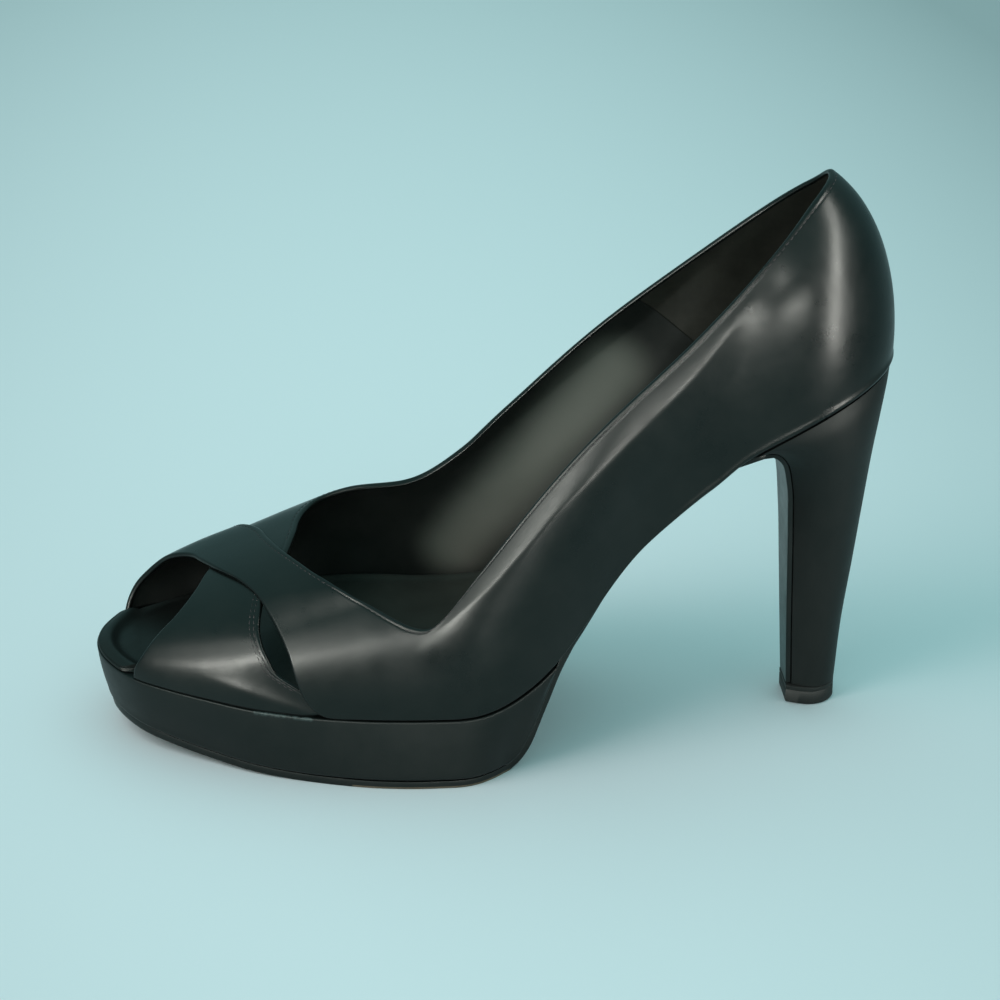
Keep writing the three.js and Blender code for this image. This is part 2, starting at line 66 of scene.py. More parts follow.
BED_SLOPES = [
    (0.00, -3.2), (0.10, -2.6), (0.22, -2.2), (0.34, -1.2), (0.43, 1.5), (0.475, 10), (0.51, 22), (0.545, 34),
    (0.575, 45), (0.61, 53), (0.65, 52.5), (0.70, 43.5), (0.77, 36), (0.84, 29), (0.92, 23), (1.0, 20.5),
]
# share, lateral, medial, ridge, shift, lateral roundness, medial roundness, lateral swell, medial swell
LAST = [
    (0.000, -0.093, -0.093, 0.12, -0.095, 2.2, 2.4, 0.000, 0.000),
    (0.012, 0.040, -0.218, 0.17, -0.099, 2.2, 2.4, 0.002, 0.002),
    (0.047, 0.168, -0.338, 0.30, -0.110, 2.2, 2.5, 0.006, 0.006),
    (0.086, 0.240, -0.372, 0.40, -0.118, 2.2, 2.6, 0.009, 0.009),
    (0.134, 0.310, -0.397, 0.50, -0.122, 2.2, 2.7, 0.012, 0.012),
    (0.190, 0.382, -0.420, 0.60, -0.115, 2.2, 2.8, 0.012, 0.012),
    (0.259, 0.436, -0.450, 0.735, -0.095, 2.2, 2.9, 0.012, 0.012),
    (0.328, 0.470, -0.475, 0.865, -0.070, 2.1, 2.9, 0.012, 0.012),
    (0.414, 0.497, -0.478, 1.00, -0.050, 2.05, 2.9, 0.012, 0.012),
    (0.478, 0.535, -0.495, 1.22, -0.038, 2.2, 2.8, 0.015, 0.015),
    (0.543, 0.519, -0.478, 1.42, -0.020, 2.4, 2.7, 0.035, 0.035),
    (0.608, 0.477, -0.443, 1.48, -0.010, 2.5, 2.7, 0.069, 0.062),
    (0.672, 0.452, -0.438, 1.38, 0.000, 2.5, 2.6, 0.086, 0.078),
    (0.737, 0.480, -0.472, 1.30, 0.000, 2.4, 2.5, 0.078, 0.078),
    (0.802, 0.490, -0.485, 1.26, 0.000, 2.3, 2.4, 0.060, 0.060),
    (0.8534, 0.500, -0.500, 1.28, 0.000, 2.3, 2.3, 0.050, 0.050),
    (0.920, 0.500, -0.500, 1.155, 0.000, 2.12, 2.12, 0.039, 0.039),
    (0.965, 0.500, -0.500, 1.095, 0.000, 2.02, 2.02, 0.033, 0.033),
    (1.000, 0.500, -0.500, 1.086, 0.000, 2.0, 2.0, 0.032, 0.032),
]
# front share, front girth, rear share, rear girth of each line across a strip
OVER_STRIP = [
    (0.034, -1.00, 0.195, -1.00), (0.040, -0.85, 0.187, -0.82), (0.050, -0.68, 0.181, -0.66),
    (0.066, -0.50, 0.180, -0.50), (0.084, -0.33, 0.185, -0.35), (0.102, -0.18, 0.194, -0.22),
    (0.122, -0.06, 0.207, -0.10), (0.145, 0.07, 0.223, 0.03), (0.160, 0.147, 0.241, 0.153),
    (0.184, 0.250, 0.270, 0.298), (0.200, 0.335, 0.290, 0.375), (0.209, 0.400, 0.306, 0.430),
    (0.218, 0.490, 0.324, 0.482), (0.227, 0.585, 0.341, 0.523), (0.236, 0.690, 0.358, 0.565),
    (0.242, 0.790, 0.375, 0.603), (0.249, 0.880, 0.392, 0.635), (0.260, 0.955, 0.410, 0.652),
    (0.280, 1.000, 0.427, 0.635), (0.325, 1.000, 0.449, 0.600), (0.380, 1.000, 0.471, 0.571),
    (0.435, 1.000, 0.492, 0.552), (0.480, 1.000, 0.515, 0.542), (0.522, 1.000, 0.541, 0.536),
    (0.560, 1.000, 0.570, 0.535), (0.598, 1.000, 0.598, 0.560), (0.632, 1.000, 0.632, 0.592),
    (0.670, 1.000, 0.670, 0.604), (0.709, 1.000, 0.709, 0.602), (0.747, 1.000, 0.747, 0.588),
    (0.780, 1.000, 0.780, 0.543), (0.816, 1.000, 0.816, 0.488), (0.8534, 1.000, 0.8534, 0.410),
    (0.880, 1.000, 0.880, 0.356), (0.915, 1.000, 0.915, 0.301), (0.955, 1.000, 0.955, 0.268),
    (1.000, 1.000, 1.000, 0.259),
]
UNDER_STRIP = [
    (0.043, 1.00, 0.300, 1.00), (0.045, 0.88, 0.256, 0.90), (0.052, 0.762, 0.222, 0.80),
    (0.065, 0.607, 0.212, 0.715), (0.081, 0.482, 0.205, 0.62), (0.098, 0.390, 0.203, 0.53),
    (0.114, 0.295, 0.206, 0.44), (0.128, 0.205, 0.212, 0.355), (0.139, 0.120, 0.225, 0.260),
    (0.152, 0.040, 0.241, 0.153), (0.165, -0.06, 0.254, 0.03), (0.178, -0.17, 0.268, -0.10),
    (0.190, -0.28, 0.287, -0.225), (0.200, -0.41, 0.315, -0.335), (0.210, -0.54, 0.352, -0.430),
    (0.222, -0.67, 0.393, -0.500), (0.237, -0.84, 0.427, -0.537), (0.258, -1.000, 0.450, -0.550),
    (0.310, -1.000, 0.470, -0.552), (0.370, -1.000, 0.489, -0.548), (0.430, -1.000, 0.507, -0.540),
    (0.480, -1.000, 0.528, -0.537), (0.530, -1.000, 0.557, -0.552), (0.580, -1.000, 0.592, -0.573),
    (0.620, -1.000, 0.622, -0.587), (0.651, -1.000, 0.651, -0.593), (0.683, -1.000, 0.683, -0.596),
    (0.714, -1.000, 0.714, -0.592), (0.745, -1.000, 0.745, -0.578), (0.780, -1.000, 0.780, -0.556),
    (0.816, -1.000, 0.816, -0.533), (0.8534, -1.000, 0.8534, -0.496), (0.880, -1.000, 0.880, -0.456),
    (0.915, -1.000, 0.915, -0.382), (0.955, -1.000, 0.955, -0.296), (1.000, -1.000, 1.000, -0.259),
]
REAR_START, REAR_END, WEDGE_END = 0.509, 0.593, 0.566
REAR_CURVE = [(0, 0), (0.15, 0.06), (0.32, 0.20), (0.54, 0.50), (0.77, 0.80), (1, 1)]
SPRING_END = 0.28
STEEPEST = 2.1
LEAN = [
    (0, 2.4), (0.08, 3.2), (0.17, 2.4), (0.26, 0.9), (0.31, -0.3), (0.36, -1.2), (0.42, -1.5), (0.46, -0.5),
    (0.49, 1.6), (0.51, 3.2), (0.54, 1.6), (0.58, 0.8),
]
MARGIN = [(0, 1.0), (0.24, 0.9), (0.34, 0.5), (0.40, 0.5), (0.49, 1.0), (0.54, 2.2), (0.60, 2.2)]
PADDING = [
    (0, 1.0), (0.045, 1.3), (0.09, 2.6), (0.14, 3.8), (0.22, 4.8), (0.32, 5.0), (0.42, 4.0), (0.55, 3.0), (1, 3.0),
]
SHANK = [(0.56, 0.470), (0.60, 0.395), (0.64, 0.335), (0.70, 0.320), (0.76, 0.330), (0.81, 0.370)]
# height, breast, back, corner, half width, widest
HEEL = [
    (0.00, 1.00, 1.00, 0.68, 0.00, 0.50),
    (0.20, 0.955, 0.885, 0.65, 0.115, 0.48),
    (0.40, 0.915, 0.680, 0.62, 0.265, 0.45),
    (0.60, 0.870, 0.485, 0.59, 0.455, 0.42),
    (0.75, 0.800, 0.335, 0.60, 0.645, 0.40),
    (0.87, 0.615, 0.180, 0.68, 0.845, 0.36),
    (0.95, 0.310, 0.060, 0.82, 0.960, 0.28),
    (1.00, 0.00, 0.00, 0.985, 1.00, 0.19),
]
BREAST_LEAD = 41.6
TIP_SET_FORWARD = 12.2


class Cubic:
    """Smooth curve through a table's rows."""

    def __init__(self, rows, column=1, at=lambda x: x):
        self.x = np.array([at(r[0]) for r in rows], float)
        self.y = np.array([r[column] for r in rows], float)
        self.m = np.gradient(self.y, self.x)

    def __call__(self, t):
        t = np.clip(np.asarray(t, float), self.x[0], self.x[-1])
        i = np.clip(np.searchsorted(self.x, t, side="right") - 1, 0, len(self.x) - 2)
        h = self.x[i + 1] - self.x[i]
        u = (t - self.x[i]) / h
        return ((2 * u**3 - 3 * u**2 + 1) * self.y[i] + (u**3 - 2 * u**2 + u) * h * self.m[i]
                + (3 * u**2 - 2 * u**3) * self.y[i + 1] + (u**3 - u**2) * h * self.m[i + 1])


def ramp(t, a, b):
    u = np.clip((np.asarray(t, float) - a) / (b - a), 0, 1)
    return u * u * (3 - 2 * u)


def mix(a, b, t):
    return a + (b - a) * t


slope_of = Cubic(BED_SLOPES)
STEPS = 240
bed_heights = np.concatenate(([0], np.cumsum(np.tan(np.radians(slope_of((np.arange(STEPS) + 0.5) / STEPS)))
                                             * SHOE_LENGTH / STEPS)))


def bed_sum(share):
    return np.interp(np.clip(share, 0, 1) * STEPS, np.arange(STEPS + 1), bed_heights)


def bed(share):
    share = np.asarray(share, float)
    rise = bed_sum(share) - bed_sum(BALL)
    steep = (HEEL_HEIGHT - PLATFORM_HEIGHT) / (bed_sum(1.0) - bed_sum(BALL))
    return PLATFORM_HEIGHT + np.where(share > BALL, rise * steep, rise)


def along(share):
    return (share - 0.5) * SHOE_LENGTH


def share_at(y):
    return y / SHOE_LENGTH + 0.5


def eased(t, soft=0.14):
    """A straight ramp from 0 to 1 with its two corners rounded."""
    def corner(v):
        return np.where(v < -soft, 0, np.where(v > soft, v, (v + soft) ** 2 / (4 * soft)))
    t = np.asarray(t, float)
    return corner(t) - corner(t - 1)


def local_width(share):
    return mix(BALL_WIDTH, SEAT_WIDTH, eased((share - BALL) / (SEAT - BALL)))


def local_height(share):
    return mix(INSTEP_HEIGHT, BACK_HEIGHT, eased((share - BALL) / (WAIST - BALL)))


edge_of = {1: Cubic(LAST, 1, math.sqrt), -1: Cubic(LAST, 2, math.sqrt)}
ridge_of, shift_of = Cubic(LAST, 3), Cubic(LAST, 4)
round_of = {1: Cubic(LAST, 5), -1: Cubic(LAST, 6)}
swell_of = {1: Cubic(LAST, 7), -1: Cubic(LAST, 8)}
heel_turn = along(TURN)
heel_reach = SHOE_LENGTH / 2 - heel_turn


def plain_edge(side, share):
    share = np.asarray(share, float)
    return edge_of[side](np.sqrt(np.maximum(share, 0))) * local_width(share)


def skin_side(side, share, girth):
    up = 1 - np.minimum(np.abs(girth), 1)
    angle = up * np.pi / 2
    n = round_of[side](share)
    flat = np.maximum(np.cos(angle), 0) ** (2 / n)
    high = np.sin(angle) ** (2 / n)
    swell = swell_of[side](share) * local_width(share) * np.sin(np.pi * up**0.8)
    turn = np.clip((share - TURN) / (1 - TURN), 0, 1) * np.pi / 2
    heel = share > TURN
    foot_x = np.where(heel, plain_edge(side, TURN) * np.cos(turn), plain_edge(side, share))
    foot_y = np.where(heel, heel_turn + heel_reach * np.sin(turn), along(share))
    ridge_x = shift_of(share) * local_width(share)
    ridge_y = np.where(heel, heel_turn, foot_y)
    rise = ridge_of(share) * local_height(share)
    return np.stack([
        ridge_x + (foot_x - ridge_x) * flat + side * np.cos(turn) * swell,
        ridge_y + (foot_y - ridge_y) * flat + np.sin(turn) * swell,
        bed(share_at(foot_y)) + rise * high,
    ], -1)


def skin(share, girth):
    """Points on the outside of the last, by share of the length and girth share."""
    share, girth = np.broadcast_arrays(np.asarray(share, float), np.asarray(girth, float))
    past = share > 1
    girth = np.where(past, -girth, girth)
    share = np.where(past, 2 - share, share)
    return np.where((girth < 0)[..., None], skin_side(-1, share, girth), skin_side(1, share, girth))


def unit(v):
    return v / np.maximum(np.linalg.norm(v, axis=-1, keepdims=True), 1e-12)


def skin_normal(share, girth):
    step = 0.004
    along_share = skin(share + step, girth) - skin(share - step, girth)
    along_girth = skin(share, girth + step) - skin(share, girth - step)
    return unit(np.cross(along_girth, along_share))


# Meshes

def make_object(name, points, faces, materials, face_materials=None, sharp=None):
    """A smooth mesh object from points in millimetres, with its faces turned outward."""
    mesh = bpy.data.meshes.new(name)
    mesh.from_pydata([tuple(p * MM) for p in np.asarray(points, float)], [], [tuple(map(int, f)) for f in faces])
    for material in materials:
        mesh.materials.append(material)
    if face_materials is not None:
        mesh.polygons.foreach_set("material_index", np.asarray(face_materials, np.int32))
    bm = bmesh.new()
    bm.from_mesh(mesh)
    bmesh.ops.remove_doubles(bm, verts=bm.verts, dist=0.004 * MM)
    bmesh.ops.dissolve_degenerate(bm, edges=bm.edges, dist=0.002 * MM)
    bmesh.ops.recalc_face_normals(bm, faces=bm.faces)
    for face in bm.faces:
        face.smooth = True
    if sharp is not None:
        limit = math.radians(sharp)
        for e in bm.edges:
            if len(e.link_faces) == 2 and e.calc_face_angle(0) > limit:
                e.smooth = False
    bm.to_mesh(mesh)
    bm.free()
    piece = bpy.data.objects.new(name, mesh)
    bpy.context.scene.collection.objects.link(piece)
    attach(piece, "root")
    return piece


def loop_faces(rows, count, cap_start=True, cap_end=True, base=0):
    """Quads through a row of closed loops, each of them going out and back, with ladder caps."""
    faces = []
    for i in range(rows - 1):
        for j in range(count):
            a, b = base + i * count + j, base + i * count + (j + 1) % count
            faces.append((a, b, b + count, a + count))
    for wanted, start in ((cap_start, base), (cap_end, base + (rows - 1) * count)):
        if not wanted:
            continue
        for j in range(count // 2 - 1):
            k = count - 1 - j
            faces.append((start + j, start + j + 1, start + k - 1, start + k))
    return faces


# The upper

EDGE_STEPS = np.array([0.9, 1.05, 1.2, 1.4, 1.6, 1.8, 2.0, 2.3, 2.7, 3.3, 4.2, 5.6, 7.4])
REAR_STEPS = np.array([8.3, 9.2, 10.1, 11.0, 12.0, 13.2, 14.6])
MIDDLE_STEPS = 20
ROWS_PER_STEP = 8
RIM_STEPS = 7
STITCH_IN = 1.75
SECOND_STITCH_IN = 3.0
COLLAR_REACH = 14.0
FOOT_DROP, FOOT_REACH = 1.7, 7.0
SEAT_ROLL, ROLL_IN, ROLL_WIDTH = 0.32, 1.7, 1.0
BAND_DIP = 1.25
GROOVE_DEPTH = 0.07
GROOVE_WIDTH = 0.30


def strip_lines(table):
    """Front and rear edges of a strip at many lines along it."""
    n = (len(table) - 1) * ROWS_PER_STEP + 1
    at = np.linspace(0, len(table) - 1, n)
    numbered = [(i, *row) for i, row in enumerate(table)]
    return at, [Cubic(numbered, c)(at) for c in (1, 2, 3, 4)]


def across_fractions(lines, m=25):
    """For each line, fractions across it at set distances from both edges, and its length."""
    fs, fg, rs, rg = lines
    t = np.linspace(0, 1, m)
    points = skin(mix(fs[:, None], rs[:, None], t), mix(fg[:, None], rg[:, None], t))
    steps = np.linalg.norm(np.diff(points, axis=1), axis=-1)
    lengths = np.concatenate([np.zeros((len(fs), 1)), np.cumsum(steps, 1)], 1)
    out, dist = [], []
    for row in lengths:
        total = row[-1]
        scale = min(1, total / 25)
        front = EDGE_STEPS * scale
        rear = np.concatenate([EDGE_STEPS, REAR_STEPS]) * scale
        middle = np.linspace(front[-1], total - rear[-1], MIDDLE_STEPS + 2)[1:-1]
        wanted = np.concatenate([front, middle, total - rear[::-1]])
        out.append(np.interp(wanted, row, t))
        dist.append(wanted)
    return np.array(out), np.array(dist), lengths[:, -1]


def settled(edge, at, reach=13):
    """How far each point of the collar's line moves so that the line runs smoothly."""
    back = edge[::-1][1:] * (-1, 1, 1)
    line = np.concatenate([edge, back[:3 * reach]])
    line = np.concatenate([line[:1].repeat(3 * reach, 0), line])
    weights = np.exp(-0.5 * (np.arange(-3 * reach, 3 * reach + 1) / reach) ** 2)
    weights /= weights.sum()
    smooth = np.stack([np.convolve(line[:, k], weights, mode="valid") for k in range(3)], -1)
    amount = ramp(at, 18.5, 22.5) * (1 - 0.85 * ramp(at, at[-1] - 3, at[-1] - 0.5))
    return (smooth[:len(edge)] - edge) * amount[:, None]


def strip_surface(table, lift_of):
    """Outer, inner and middle points, normals and edge distances of a strip."""
    at, lines = strip_lines(table)
    fs, fg, rs, rg = lines
    t, front, total = across_fractions(lines)
    share = mix(fs[:, None], rs[:, None], t)
    girth = mix(fg[:, None], rg[:, None], t)
    normal = skin_normal(share, girth)
    base = skin(share, girth)
    last = share >= 1 - 1e-9
    base[..., 0] = np.where(last, 0, base[..., 0])
    normal[..., 0] = np.where(last, 0, normal[..., 0])
    rear = total[:, None] - front
    base = base + settled(base[:, -1], at)[:, None] * np.exp(-(rear / COLLAR_REACH) ** 2)[..., None]
    shank = ramp(share, 0.62, 0.72) * (1 - ramp(share, 0.765, 0.81))
    base[..., 2] -= FOOT_DROP * shank * np.exp(-(front / FOOT_REACH) ** 2)
    info = dict(at=at[:, None] + 0 * t, share=share, girth=girth, front=front, rear=rear, t=t)
    lift = (lift_of(info) + shoulder(info))[..., None]
    relief = (groove(info["rear"]) + seat_roll(info))[..., None]
    outer = base + (lift + relief) * normal
    inner = base + (lift - WALL) * normal
    return outer, inner, base + (lift - WALL / 2) * normal, normal, info


def rim(centre, normal, outward, radius, steps):
    """A half circle round a strip's edge, from its outer to its inner face."""
    outward = unit(outward - (outward * normal).sum(-1, keepdims=True) * normal)
    angle = np.pi * (np.arange(1, steps + 1)) / (steps + 1)
    return (centre[:, None] + radius * (np.cos(angle)[None, :, None] * normal[:, None]
                                        + np.sin(angle)[None, :, None] * outward[:, None]))


def strip_loops(surface):
    """Closed loops round the strip's section, one for each line."""
    outer, inner, middle, normal, info = surface
    rear = rim(middle[:, -1], normal[:, -1], middle[:, -1] - middle[:, -2], WALL / 2, RIM_STEPS)
    front = rim(middle[:, 0], normal[:, 0], middle[:, 0] - middle[:, 1], WALL / 2, RIM_STEPS)[:, ::-1]
    return np.concatenate([outer, rear, inner[:, ::-1], front], 1)


def groove(distance):
    """The shallow line that the stitches pull into the leather."""
    return -GROOVE_DEPTH * np.exp(-((distance - STITCH_IN) / GROOVE_WIDTH) ** 2)


def over_lift(info):
    """The upper band's height over the other one, round their crossing."""
    at = info["at"]
    return BAND_LIFT * ramp(at, 2.6, 5.2) * (1 - ramp(at, 10.6, 13.0))


def under_lift(info):
    """The lower band's place under the other one, at their crossing and at its outer foot."""
    at = info["at"]
    start = mix(0.80, 0.42, ramp(at, 0, 1.8))
    dip = -BAND_DIP * (1 - ramp(at, 1.0, 4.4)) * ramp((info["t"] - start) / (0.98 - start), 0, 1)
    return -BAND_TUCK * (1 - ramp(at, 17, 21)) + dip


# share and girth of the ridge where the quarter turns in toward the collar
SHOULDER = [(0.38, 0.66), (0.44, 0.668), (0.50, 0.676), (0.56, 0.700), (0.62, 0.722), (0.67, 0.728), (0.73, 0.698),
            (0.78, 0.620), (0.82, 0.520), (0.86, 0.430)]
SHOULDER_HEIGHT = 1.5
shoulder_girth = Cubic(SHOULDER)


def shoulder(info):
    """The soft ridge where the quarter turns in toward the collar, with its flat strip above."""
    girth, rear, share, at = np.abs(info["girth"]), info["rear"], info["share"], info["at"]
    lines = at[:, 0]
    reach = np.array([np.interp(shoulder_girth(share[i, -1]), girth[i, ::-1], rear[i, ::-1]) if lines[i] > 16 else 5.0
                      for i in range(len(lines))])
    reach = np.clip(reach, 4.2, 11)
    weights = np.exp(-0.5 * (np.arange(-30, 31) / 10) ** 2)
    reach = np.convolve(np.pad(reach, 30, mode="edge"), weights / weights.sum(), mode="valid")[:, None]
    x = rear / reach
    rise, fall = x, (3.1 - x) / 2.1
    height = 0.5 * (rise + fall - np.sqrt((rise - fall) ** 2 + 0.009))
    height = 0.5 * (height + np.sqrt(height**2 + 0.01)) - 0.03
    amount = ramp(at, 17.5, 23) * (1 - ramp(share, 0.70, 0.86)) * np.minimum(1, reach / 8)
    return SHOULDER_HEIGHT * height * amount


def seat_roll(info):
    """The full edge that the quarter's foot rolls over the heel's seat."""
    near = np.exp(-((info["front"] - ROLL_IN) / ROLL_WIDTH) ** 2)
    return SEAT_ROLL * near * ramp(info["share"], 0.68, 0.75)


over = strip_surface(OVER_STRIP, over_lift)
under = strip_surface(UNDER_STRIP, under_lift)

def upper_mesh():
    """Both strips as one skin, welded at the back, with the lining's faces marked."""
    loops_a, loops_b = strip_loops(over), strip_loops(under)
    ra, count = loops_a.shape[:2]
    rb = loops_b.shape[0]
    m = over[0].shape[1]
    points = np.concatenate([loops_a.reshape(-1, 3), loops_b[:-1].reshape(-1, 3)])
    faces = loop_faces(ra, count, cap_end=False)
    faces_b = loop_faces(rb, count, cap_end=False, base=ra * count)
    first_of_last = ra * count + (rb - 1) * count
    moved = [tuple(v if v < first_of_last else v - first_of_last + (ra - 1) * count for v in f) for f in faces_b]
    materials = []
    for block, rows in ((faces, ra), (moved, rb)):
        for k in range(len(block)):
            inside = m + RIM_STEPS + 3 <= k % count < 2 * m + RIM_STEPS - 4
            materials.append(1 if inside and k < (rows - 1) * count else 0)
    return points, faces + moved, materials


# The sole's pieces

def outline(side, roots, turns=()):
    """The feather edge's points and inward directions on one side, toe first."""
    step = 0.002
    low = np.maximum(roots - step, 0)
    dx = plain_edge(side, (roots + step) ** 2) - plain_edge(side, low**2)
    dy = ((roots + step) ** 2 - low**2) * SHOE_LENGTH
    point = np.stack([plain_edge(side, roots**2), along(roots**2)], -1)
    inward = unit(np.stack([-side * dy, side * dx], -1))
    if len(turns):
        turns = np.asarray(turns)
        reach = abs(float(plain_edge(side, TURN)))
        heel_point = np.stack([side * reach * np.cos(turns), heel_turn + heel_reach * np.sin(turns)], -1)
        heel_in = -unit(np.stack([side * heel_reach * np.cos(turns), reach * np.sin(turns)], -1))
        point, inward = np.concatenate([point, heel_point]), np.concatenate([inward, heel_in])
    return point, inward


def perimeter_solid(roots, turns, profile, across=10, crown=None):
    """A slab whose edge follows the outline. profile(share) gives insets and heights down its wall,
    the same on both sides."""
    sides = {s: outline(s, roots, turns) for s in (-1, 1)}
    rows = []
    n = len(sides[1][0])
    for k in range(n):
        wall = {}
        for s in (-1, 1):
            (x, y), (ix, iy) = sides[s][0][k], sides[s][1][k]
            insets, level = profile(share_at(y))
            pts = []
            for inset, (kind, h) in zip(insets, level):
                py = y + iy * inset
                pts.append((x + ix * inset, py, kind(share_at(py)) + h))
            wall[s] = np.array(pts)
        top_l, top_r = wall[-1][0], wall[1][0]
        low_l, low_r = wall[-1][-1], wall[1][-1]
        t = (1 - np.cos(np.pi * np.arange(1, across) / across)) / 2
        top = top_l + (top_r - top_l) * t[:, None]
        low = low_r + (low_l - low_r) * t[:, None]
        if crown is not None:
            top[:, 2] += crown(top, abs(top_r[0] - top_l[0]))
        rows.append(np.concatenate([top_l[None], top, wall[1], low, wall[-1][::-1][:-1]]))
    rows = np.array(rows)
    count = rows.shape[1]
    return rows.reshape(-1, 3), [
        (i * count + j, i * count + (j + 1) % count, (i + 1) * count + (j + 1) % count, (i + 1) * count + j)
        for i in range(n - 1) for j in range(count)] + [
        tuple(range(count)), tuple((n - 1) * count + j for j in range(count))]


def spring(share):
    """How far the toe stands off the ground."""
    return TOE_SPRING * np.maximum(1 - np.asarray(share) / SPRING_END, 0) ** 2


def bed_slope(share):
    return (bed(share + 0.004) - bed(share - 0.004)) / (0.008 * SHOE_LENGTH)


def shank_underside(share):
    return bed(share) - (OUTSOLE_THICKNESS + 2 * CLEARANCE) * np.hypot(1, bed_slope(share))


rear_rise = Cubic(REAR_CURVE)
lean_of, margin_of, padding_of, shank_of = Cubic(LEAN), Cubic(MARGIN), Cubic(PADDING), Cubic(SHANK)


def underside(share):
    """The sole's lower face: the toe spring, the rise behind the platform and the shank."""
    share = np.asarray(share, float)
    run = np.clip((share - REAR_START) / (REAR_END - REAR_START), 0, 1)
    rear = rear_rise(run) * shank_underside(REAR_END)
    return np.where(share < REAR_START, spring(share), np.where(share > REAR_END, shank_underside(share), rear))


def upright(thickness, share):
    """A thickness measured across the sole, as a height."""
    slope = (underside(share + 0.004) - underside(share - 0.004)) / (0.008 * SHOE_LENGTH)
    return thickness * np.minimum(np.hypot(1, slope), STEEPEST)


def edge_at(side, share, inset):
    """Side edge drawn in by an inset at a share of the length."""
    share = float(share)
    y = along(share)
    roots = np.sqrt(np.linspace(max(share - 0.03, 0), share + 0.03, 121))
    point, inward = outline(side, roots)
    moved = point + inward * inset
    order = np.argsort(moved[:, 1])
    return float(np.interp(y, moved[order, 1], moved[order, 0]))


INSOLE_ROOTS = np.sqrt(np.concatenate([np.linspace(0, 0.26, 46) ** 2, np.linspace(0.07, TURN, 120)]))
INSOLE_TURNS = np.linspace(0.04, math.pi / 2, 34)
LIP_END, TUCK_FROM = 0.026, 0.042
TUCKED = WALL + 2 * CLEARANCE
FOOT_BEVEL = 0.25
LIP_RISE, LIP_SINK, RIM_RISE, HOLLOW = 1.05, 0.75, 1.05, 0.9


def insole_mesh():
    """The padded sock, with a rolled lip at the open toe."""
    def profile(share):
        t = float(ramp(share, LIP_END, TUCK_FROM))
        inset = mix(0.35, TUCKED + 0.5 * float(1 - ramp(share, 0.07, 0.12)), t)
        lean = 1.3 * t * float(1 - ramp(share, 0.08, 0.25))
        thick = float(padding_of(share))
        radius = min(0.9, thick * 0.45)
        floor = lambda s: bed(s) + 0.2 * ramp(s, 0.02, 0.06)
        corner = [(inset + lean + radius * (1 - math.sin(a)), thick - radius + radius * math.cos(a))
                  for a in np.linspace(0, math.pi / 2, 6)]
        pairs = corner + [(inset, FOOT_BEVEL), (inset + FOOT_BEVEL, 0.0)]
        return [p[0] for p in pairs], [(floor, p[1]) for p in pairs]

    ring = np.concatenate([outline(s, INSOLE_ROOTS, INSOLE_TURNS)[0] for s in (-1, 1)])

    def crown(top, width):
        """A rolled lip round the toe, a soft rim along the sides and a shallow hollow under the foot."""
        share = share_at(top[:, 1])
        away = np.sqrt(((top[:, None, :2] - ring[None]) ** 2).sum(-1)).min(1)
        toe = 1 - ramp(share, 0.055, 0.11)
        lip = np.exp(-((away - 3.4) / 2.0) ** 2)
        sunk = ramp(away, 3.6, 7.6)
        rim = np.exp(-((away - 4.6) / 1.3) ** 2)
        hollow = ramp(away, 6, 24) * ramp(share, 0.08, 0.2) * (1 - ramp(share, 0.62, 0.8))
        shaped = toe * (LIP_RISE * lip - LIP_SINK * sunk) + (1 - toe) * RIM_RISE * rim
        return shaped - HOLLOW * hollow * min(1, width / 50)

    return perimeter_solid(INSOLE_ROOTS, INSOLE_TURNS, profile, across=44, crown=crown)


def platform_mesh():
    """The wrapped platform, a little swollen between its rounded edges."""
    roots = np.sqrt(np.concatenate([np.linspace(0, 0.26, 46) ** 2, np.linspace(0.07, WEDGE_END, 110)]))

    def profile(share):
        lean = float(lean_of(share))
        top = lambda s: bed(s) - mix(0.03, CLEARANCE, ramp(s, 0.06, 0.30)) * np.hypot(1, bed_slope(s))
        bottom = lambda s: underside(s) + upright(OUTSOLE_THICKNESS + CLEARANCE, s)
        height = float(top(share) - bottom(share))
        small = min(mix(0.3, 0.6, float(ramp(share, 0.05, 0.3))), height * 0.2)
        big = min(1.5, height * 0.3)
        upper = [(small * (1 - math.sin(a)), -small * (1 - math.cos(a))) for a in np.linspace(0, math.pi / 2, 6)]
        pairs = [(i, (top, h)) for i, h in upper]
        body = 8
        for k in range(1, body):
            u = k / body
            swell = 0.35 * math.sin(math.pi * u)

            def level(s, u=u):
                return mix(top(s) - small, bottom(s) + big, u)
            pairs.append((lean * u - swell, (level, 0.0)))
        lower = [(lean + big * 0.8 * (1 - math.cos(a)), big * (1 - math.sin(a)))
                 for a in np.linspace(0, math.pi / 2, 7)]
        pairs += [(i, (bottom, h)) for i, h in lower]
        return [p[0] for p in pairs], [p[1] for p in pairs]

    return perimeter_solid(roots, (), profile, across=10)


# rounding of the outsole's edge, its part without black finish, and points across it
SOLE_ROUND, BARE_EDGE, SOLE_ACROSS = 0.35, 0.75, 12


def sheet_row(points, share, left, right, across=SOLE_ACROSS):
    """One row of the outsole: a thin rounded slab across the sole."""
    low = float(underside(share))
    thick = float(upright(OUTSOLE_THICKNESS, share))
    y = along(share)
    r, cut, high = SOLE_ROUND, SOLE_ROUND * 0.3, low + thick
    middle = mix(left, right, np.linspace(0, 1, across + 1))[1:-1]
    top = [(x, y, high) for x in (left + cut, *middle, right - cut)]
    right_wall = [(right, y, high - r), (right, y, low + BARE_EDGE), (right - cut, y, low + cut)]
    bottom = [(x, y, low) for x in (right - r, *middle[::-1], left + r)]
    left_wall = [(left + cut, y, low + cut), (left, y, low + BARE_EDGE), (left, y, high - r)]
    points.append(top + right_wall + bottom + left_wall)


heel_columns = [Cubic(HEEL, c) for c in range(1, 6)]


